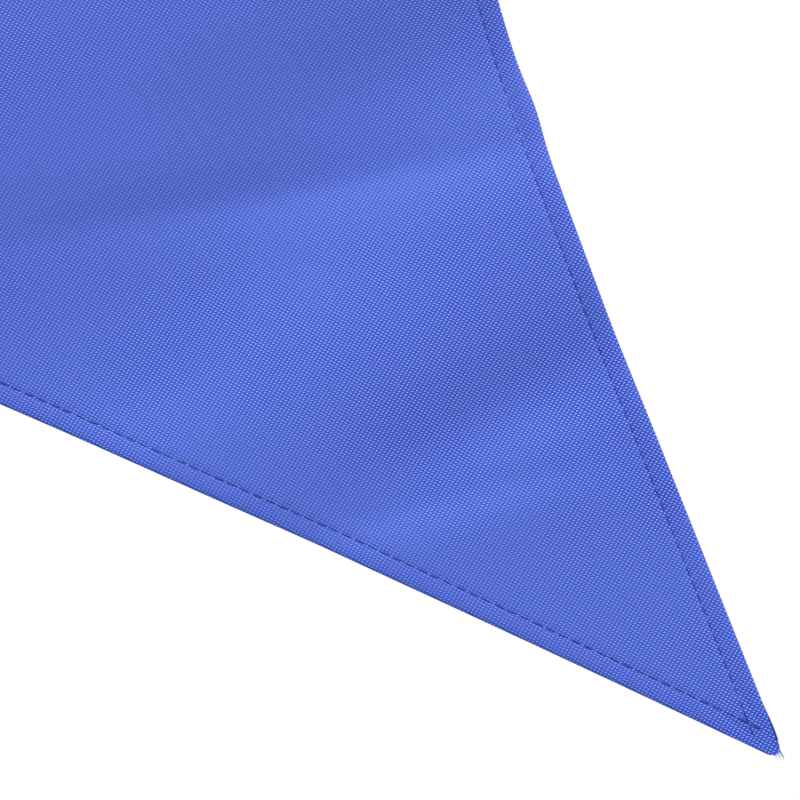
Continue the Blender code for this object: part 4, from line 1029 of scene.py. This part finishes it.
def make_tab():
    """Webbing folded double: a leaf on each face of the sail, sewn down, with the grommet near its fold."""
    low = MOUTH_HEIGHT - TAB_DROP
    crotch, top = MOUTH_HEIGHT - TAB_CROTCH, MOUTH_HEIGHT + TAB_RISE
    wide, close = CLOTH / 2 + GAP + TAB_CLOTH / 2 + TAB_SLACK, TAB_CLOTH / 2 + 0.0001
    z_leaf = np.linspace(top, low + close, 60)
    y_leaf = close + (wide - close) * smooth((z_leaf - crotch + 0.010) / TAB_SPREAD)
    turn = np.linspace(0.0, math.pi, 9)[1:-1]
    y = np.concatenate([-y_leaf, -close * np.cos(turn), y_leaf[::-1]])
    z = np.concatenate([z_leaf, low + close - close * np.sin(turn), z_leaf[::-1]])
    columns = np.linspace(-TAB_WIDTH / 2, TAB_WIDTH / 2, 13)
    places = np.stack(np.broadcast_arrays(TAB_X + columns[None], y[:, None], z[:, None]), 2)
    run = np.concatenate([[0.0], np.cumsum(np.hypot(np.diff(y), np.diff(z)))])
    maps = {"weave": np.stack(np.broadcast_arrays((columns[None] + TAB_WIDTH) / UV_SPAN,
                                                  run[:, None] / UV_SPAN), 2)}
    mesh = laid_grid("tab", places, maps)
    tab = add_piece("tension_tab_webbing", mesh, WEBBING, "flag", ["tension_tab"], sharp=50)
    thicken(tab, TAB_CLOTH)
    edges = tab.modifiers.new("selvedge", "BEVEL")
    edges.width, edges.segments, edges.limit_method = TAB_SELVEDGE, 2, "ANGLE"
    settled(tab)
    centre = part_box("tab_grommet")
    height = (centre[0].z + centre[1].z) / 2
    hole = rod_mesh("hole", TAB_HOLE, (TAB_X, -0.01, height), (TAB_X, 0.01, height), sides=40)
    cut = combined(tab.data.copy(), [(hole, "DIFFERENCE")])
    tab.data = cut
    cut.shade_smooth()
    cut.set_sharp_from_angle(angle=math.radians(40))
    make_tab_stitching(top, crotch)


def make_tab_stitching(top, crotch):
    """A box with a cross on each leaf, and bars across both below the sail's edge."""
    half = TAB_WIDTH / 2 - TAB_MARGIN
    high, low = top - TAB_MARGIN, MOUTH_HEIGHT - 0.0020
    corners = [(-half, low), (half, low), (half, high), (-half, high), (-half, low), (half, high)]
    lines = list(zip(corners, corners[1:])) + [((-half, high), (half, low))]
    out = CLOTH / 2 + GAP + TAB_CLOTH + TAB_SLACK + THREAD_RADIUS * 0.5
    close = TAB_CLOTH + 0.00025
    rows = []
    for front in (-1, 1):
        for (x0, z0), (x1, z1) in lines:
            points = [(TAB_X + x0, front * out, z0), (TAB_X + x1, front * out, z1)]
            rows.append(stitch_row(points, (0, front, 0), TAB_STITCH, radius=TAB_THREAD_RADIUS, seed=40))
        for below in TAB_BARS:
            z = crotch - below
            points = [(TAB_X - half, front * close, z), (TAB_X + half, front * close, z)]
            rows.append(stitch_row(points, (0, front, 0), TAB_BAR_STITCH, radius=TAB_THREAD_RADIUS, seed=50))
    sew("tab_stitching", rows, BONDED_THREAD)


def make_grommet():
    """A rolled brass eyelet with a flange on each face of the tab."""
    low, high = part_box("tab_grommet")
    centre = (low + high) / 2
    rim, face = (high.x - low.x) / 2, (high.y - low.y) / 2
    bore, seat = GROMMET_BORE, GROMMET_SEAT
    profile = [(bore + 0.0002, 0.0), (bore, face * 0.5), (bore + 0.0006, face * 0.93), (bore + 0.0016, face),
               (rim - 0.0012, face * 0.93), (rim - 0.0002, face * 0.80), (rim, seat + 0.0002),
               (rim - 0.0005, seat), (GROMMET_BARREL, seat)]
    profile = profile + [(r, -h) for r, h in reversed(profile[1:])]
    mesh = turned("grommet", rounded(profile, 0.0004, 2), centre, "Y", steps=72)
    add_piece("brass_grommet", mesh, BRASS, "flag", ["tab_grommet"], sharp=60)


def make_tension_cord():
    """The elastic loop, with the crimped splice that closes it."""
    low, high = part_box("tension_cord")
    x = (low.x + high.x) / 2
    half = (high.y - low.y) / 2 - CORD_RADIUS
    base, top = low.z + CORD_RADIUS + half, high.z - CORD_RADIUS - half
    turn = np.linspace(0.0, math.pi, 25)
    straight = np.linspace(0.0, 1.0, 60)[1:-1]
    flank = half * np.ones_like(straight)
    y = np.concatenate([half * np.cos(turn), -flank, -half * np.cos(turn), flank])
    z = np.concatenate([base - half * np.sin(turn), base + (top - base) * straight,
                        top + half * np.sin(turn), top + (base - top) * straight])
    points = np.stack([np.full_like(y, x), y, z], 1)
    mesh = tube_mesh("cord", points, CORD_RADIUS, sides=24, closed=True, mapped=True)
    add_piece("elastic_cord_loop", mesh, BRAID, "flag", ["tension_cord"])
    inner = CORD_RADIUS + 0.00005
    outer = inner + SPLICE_WALL
    profile = [(inner, -SPLICE_HALF), (outer, -SPLICE_HALF), (outer, SPLICE_HALF), (inner, SPLICE_HALF)]
    place = (x, half, base + (top - base) * SPLICE_HEIGHT)
    mesh = turned("splice", rounded(profile, 0.0002, 2), place, steps=36)
    add_piece("cord_splice", mesh, BLACK_NYLON, "flag")


# ---------------------------------------------------------------- pole
TUBE_EDGE = 0.0003           # the break on a cut tube's edges
LOWER_STEP = 0.05            # spacing of the rings on the two lower sections
UPPER_STEP = 0.01


def smooth_tube(name, low, high, radius, wall, mat, replaces, sides=40, step=0.006):
    """A round tube along the pole between two of its distances, or a rod if it has no wall."""
    s = np.linspace(low, high, max(3, int((high - low) / step)))
    x, z = POLE.at(s)
    points = np.stack([x, np.zeros_like(x), z], 1)
    mesh = tube_mesh(name, points, radius, sides=sides, cap=wall is None)
    tube = add_piece(name, mesh, mat, "flag", [replaces])
    if wall is not None:
        thicken(tube, wall, -1.0)
    ends = tube.modifiers.new("ends", "BEVEL")
    ends.width, ends.segments, ends.limit_method, ends.angle_limit = TUBE_EDGE, 2, "ANGLE", math.radians(50)


def make_pole():
    """Four sections, each plugged into the last, and a ferrule round each socket."""
    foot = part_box("pole_section_1")[0].z
    bottoms = [foot] + [top - PLUG_LENGTH for top in SECTION_TOP]
    tops = [*SECTION_TOP, POLE_END]
    for i, (low, high) in enumerate(zip(bottoms, tops)):
        mat, slot = (POLE_ALLOY, "pole_alloy") if i == 0 else (GLASS_FIBRE, "pole_glass_fibre")
        wall = SECTION_WALL[i] if i < len(SECTION_WALL) else None
        step = LOWER_STEP if i < 2 else UPPER_STEP
        smooth_tube(f"pole_tube_{i + 1}", low, high, SECTION_RADIUS[i], wall, mat,
                    f"pole_section_{i + 1}", step=step)
    for i, top in enumerate(SECTION_TOP):
        radius = SECTION_RADIUS[i] + GAP + FERRULE_WALL
        smooth_tube(f"joint_ferrule_{i + 1}", top - FERRULE_LENGTH, top, radius, FERRULE_WALL, NICKEL,
                    f"ferrule_{i + 1}", sides=48)


# ---------------------------------------------------------------- hardware from the frame's own solids
PIVOT_RADIUS = 0.036         # the legs' pivots, from the pole's axis
BOLT_RADIUS = 0.0038
BOLT_FLATS = 0.0066 * math.cos(math.pi / 6)  # half the width across them
BOLT_HEAD = (0.0173, 0.0215)  # its face and its top, from the leg's middle
BOLT_ROOT = 0.0020           # how far the shank goes into the head
BOLT_END = 0.0228
NUT_FACES = (-0.0225, -0.0173)
NUT_BORE = 0.0041
SPINDLE_NUT_BORE = 0.0053
PAD_CHAMFER = (0.0014, 0.0012)  # width and height, round the lower edge
PAD_GROOVE = 0.0008          # depth of the two ring grooves
# each groove's outer lip, floor and inner lip, as shares of the pad's radius
PAD_RINGS = ((0.72, 0.70, 0.62, 0.60), (0.40, 0.38, 0.30, 0.28))


def ease_node(node, new_name, width, mat, body):
    """A frame solid with its edges broken."""
    mesh = eased(new_name, NODES[node].data, width)
    add_piece(new_name, mesh, mat, body, [node], 40)


def make_hardware():
    ease_node("hub", "base_hub", 0.0005, POWDER, "base")
    ease_node("cord_collar", "hook_collar", 0.0004, BLACK_NYLON, "flag")
    ease_node("pole_tip_cap", "tip_cap", 0.0003, RUBBER, "flag")
    ease_node("rotor_tube", "rotor", 0.0004, ZINC, "flag")
    ease_node("retaining_clip", "snap_ring", 0.0002, ZINC, "base")
    for i in range(1, 5):
        ease_node(f"leg_{i}", f"leg_bar_{i}", 0.0003, POWDER, f"leg_{i}_arm")
        ease_node(f"foot_{i}", f"rubber_foot_{i}", 0.0006, RUBBER, f"leg_{i}_arm")


def measure_ring(node):
    """Inner and outer radius about the pole's axis, and the lowest and highest point, of a turned node."""
    low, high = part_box(node)
    radii = [math.hypot(v.co.x, v.co.y) for v in NODES[node].data.vertices]
    return min(radii), max(radii), low.z, high.z


def make_turned():
    """The nylon bushes and washer, and the rubber pad with its two ring grooves."""
    for node, name, mat, body, slot, edge in (
            ("lower_bush", "bush_lower", WHITE_NYLON, "flag", "white_nylon", 0.0002),
            ("upper_bush", "bush_upper", WHITE_NYLON, "flag", "white_nylon", 0.0002),
            ("thrust_washer", "washer", WHITE_NYLON, "base", "white_nylon", 0.0004)):
        inner, outer, low, high = measure_ring(node)
        profile = [(outer, high), (outer, low), (inner, low), (inner, high)]
        add_piece(name, turned(name, rounded(profile, edge)), mat, body, [node])
    inner, outer, low, high = measure_ring("hub_pad")
    profile = [(0.0, high), (outer, high), (outer, low + PAD_CHAMFER[1]), (outer - PAD_CHAMFER[0], low)]
    for ring in PAD_RINGS:
        levels = (low, low + PAD_GROOVE, low + PAD_GROOVE, low)
        profile += [(outer * share, level) for share, level in zip(ring, levels)]
    profile.append((0.0, low))
    add_piece("base_pad", turned("pad", profile), RUBBER, "base", ["hub_pad"])


def hex_mesh(name, flats, low, high, bore=None, chamfer=0.16):
    """A hexagon along Z with its corners turned off at both ends, and a bore if it is a nut."""
    corner = flats / math.cos(math.pi / 6)
    body = rod_mesh(name, corner, (0, 0, low), (0, 0, high), sides=6)
    drop = corner * chamfer
    lens = [(0.0, high), (flats * 0.96, high), (corner * 1.02, high - drop), (corner * 1.02, low + drop),
            (flats * 0.96, low), (0.0, low)]
    steps = [(turned("lens", lens, steps=48), "INTERSECT")]
    if bore:
        deep = 2 * (high - low)
        drill = rod_mesh("bore", bore, (0, 0, low - deep), (0, 0, high + deep), sides=40)
        steps.append((drill, "DIFFERENCE"))
    return combined(body, steps)


def placed(mesh, matrix):
    mesh.transform(matrix)
    return mesh


def make_bolts():
    """Four pivot bolts with their nuts, and the spindle with its own nut."""
    for i in range(1, 5):
        low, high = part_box(f"pivot_bolt_{i}")
        turn = (i - 1) * math.pi / 2
        height = ((low + high) / 2).z
        middle = Vector((math.cos(turn), math.sin(turn), 0)) * PIVOT_RADIUS + Vector((0, 0, height))
        level = Matrix.Rotation(turn, 4, "Z") @ Matrix.Rotation(math.pi / 2, 4, "X")
        lie = Matrix.Translation(middle) @ level
        root = BOLT_HEAD[0] + BOLT_ROOT
        profile = [(0.0, root), (BOLT_RADIUS, root), (BOLT_RADIUS, -BOLT_END), (0.0, -BOLT_END)]
        shank = turned("shank", rounded(profile, 0.0004), steps=40)
        head = hex_mesh("head", BOLT_FLATS, *BOLT_HEAD)
        bolt = combined(head, [(shank, "UNION")])
        add_piece(f"hex_bolt_{i}", placed(bolt, lie), ZINC, "base", [f"pivot_bolt_{i}"], 30)
        nut = hex_mesh("nut", BOLT_FLATS, *NUT_FACES, bore=NUT_BORE)
        add_piece(f"hex_nut_{i}", placed(nut, lie), ZINC, "base", [f"pivot_nut_{i}"], 30)
    low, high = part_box("spindle_nut")
    flats = min(high.x - low.x, high.y - low.y) / 2
    nut = hex_mesh("nut", flats, low.z, high.z, bore=SPINDLE_NUT_BORE, chamfer=0.12)
    add_piece("spindle_hex_nut", nut, ZINC, "base", ["spindle_nut"], 30)
    ease_node("spindle_pin", "spindle", 0.0003, ZINC, "base")
    ease_node("collar_screw", "pan_screw", 0.0004, ZINC, "flag")


# ---------------------------------------------------------------- stage
FLOOR_RADIUS = 1.45
KEY_LIGHT = VIEW_CENTRE + ALONG * 2.1 + Vector((0, -1.15, 0)) + ACROSS * 0.2
BACK_LIGHT = Vector((-1.6, 2.8, 2.6))
BACK_TARGET = Vector((-0.3, 0, 1.3))
LENS = 100.0
SENSOR = 36.0
WHITE = (1.0, 1.0, 1.0, 1.0)


def make_stage():
    """A pale floor and white surroundings, which light less than they show, with two lamps."""
    bm = bmesh.new()
    bmesh.ops.create_circle(bm, cap_ends=True, segments=128, radius=FLOOR_RADIUS)
    floor = bpy.data.objects.new("floor", mesh_of("floor", bm))
    bpy.context.scene.collection.objects.link(floor)
    mat, _, _ = new_material("pale_floor", "#e9e9e7", 0.7)
    floor.data.materials.append(mat)
    world = bpy.data.worlds.new("studio")
    bpy.context.scene.world = world
    world.use_nodes = True
    tree = world.node_tree
    seen = tree.nodes["Background"]
    seen.inputs["Color"].default_value = WHITE
    seen.inputs["Strength"].default_value = 1.02
    glow = add_node(tree, "ShaderNodeBackground", {"Color": WHITE, "Strength": 0.26})
    rays = add_node(tree, "ShaderNodeLightPath")
    mixed = add_node(tree, "ShaderNodeMixShader", {0: rays.outputs["Is Camera Ray"], 1: glow, 2: seen})
    tree.links.new(mixed.outputs[0], tree.nodes["World Output"].inputs["Surface"])
    add_light("key_light", KEY_LIGHT, VIEW_CENTRE, 1.2, 68.0)
    add_light("back_light", BACK_LIGHT, BACK_TARGET, 1.6, 60.0)
    bpy.context.scene.view_settings.view_transform = "Standard"


def add_light(name, place, target, size, power):
    """A round area lamp that faces a target."""
    data = bpy.data.lights.new(name, "AREA")
    data.shape = "DISK"
    data.size = size
    data.energy = power
    lamp = bpy.data.objects.new(name, data)
    bpy.context.scene.collection.objects.link(lamp)
    lamp.location = place
    lamp.rotation_euler = (Vector(target) - Vector(place)).to_track_quat("-Z", "Y").to_euler()


def make_camera():
    """Square on to the sail, turned with the cloth's loose corner."""
    data = bpy.data.cameras.new("camera")
    data.lens = LENS
    data.sensor_width = SENSOR
    camera = bpy.data.objects.new("camera", data)
    bpy.context.scene.collection.objects.link(camera)
    away = VIEW_WIDTH * data.lens / data.sensor_width
    turn = Matrix((ACROSS, ALONG, Vector((0, -1, 0)))).transposed().to_4x4()
    camera.matrix_world = Matrix.Translation(VIEW_CENTRE - Vector((0, away, 0))) @ turn
    bpy.context.scene.camera = camera


# ---------------------------------------------------------------- build
make_camera()
make_stage()
SAIL = make_sail()
make_hem_stitching()
make_tip_details()
make_sleeve()
make_pocket()
make_sleeve_stitching()
make_tab()
make_grommet()
make_tension_cord()
make_pole()
make_hardware()
make_turned()
make_bolts()
CUT_SIZE, CUT_AREA = cut_panel()
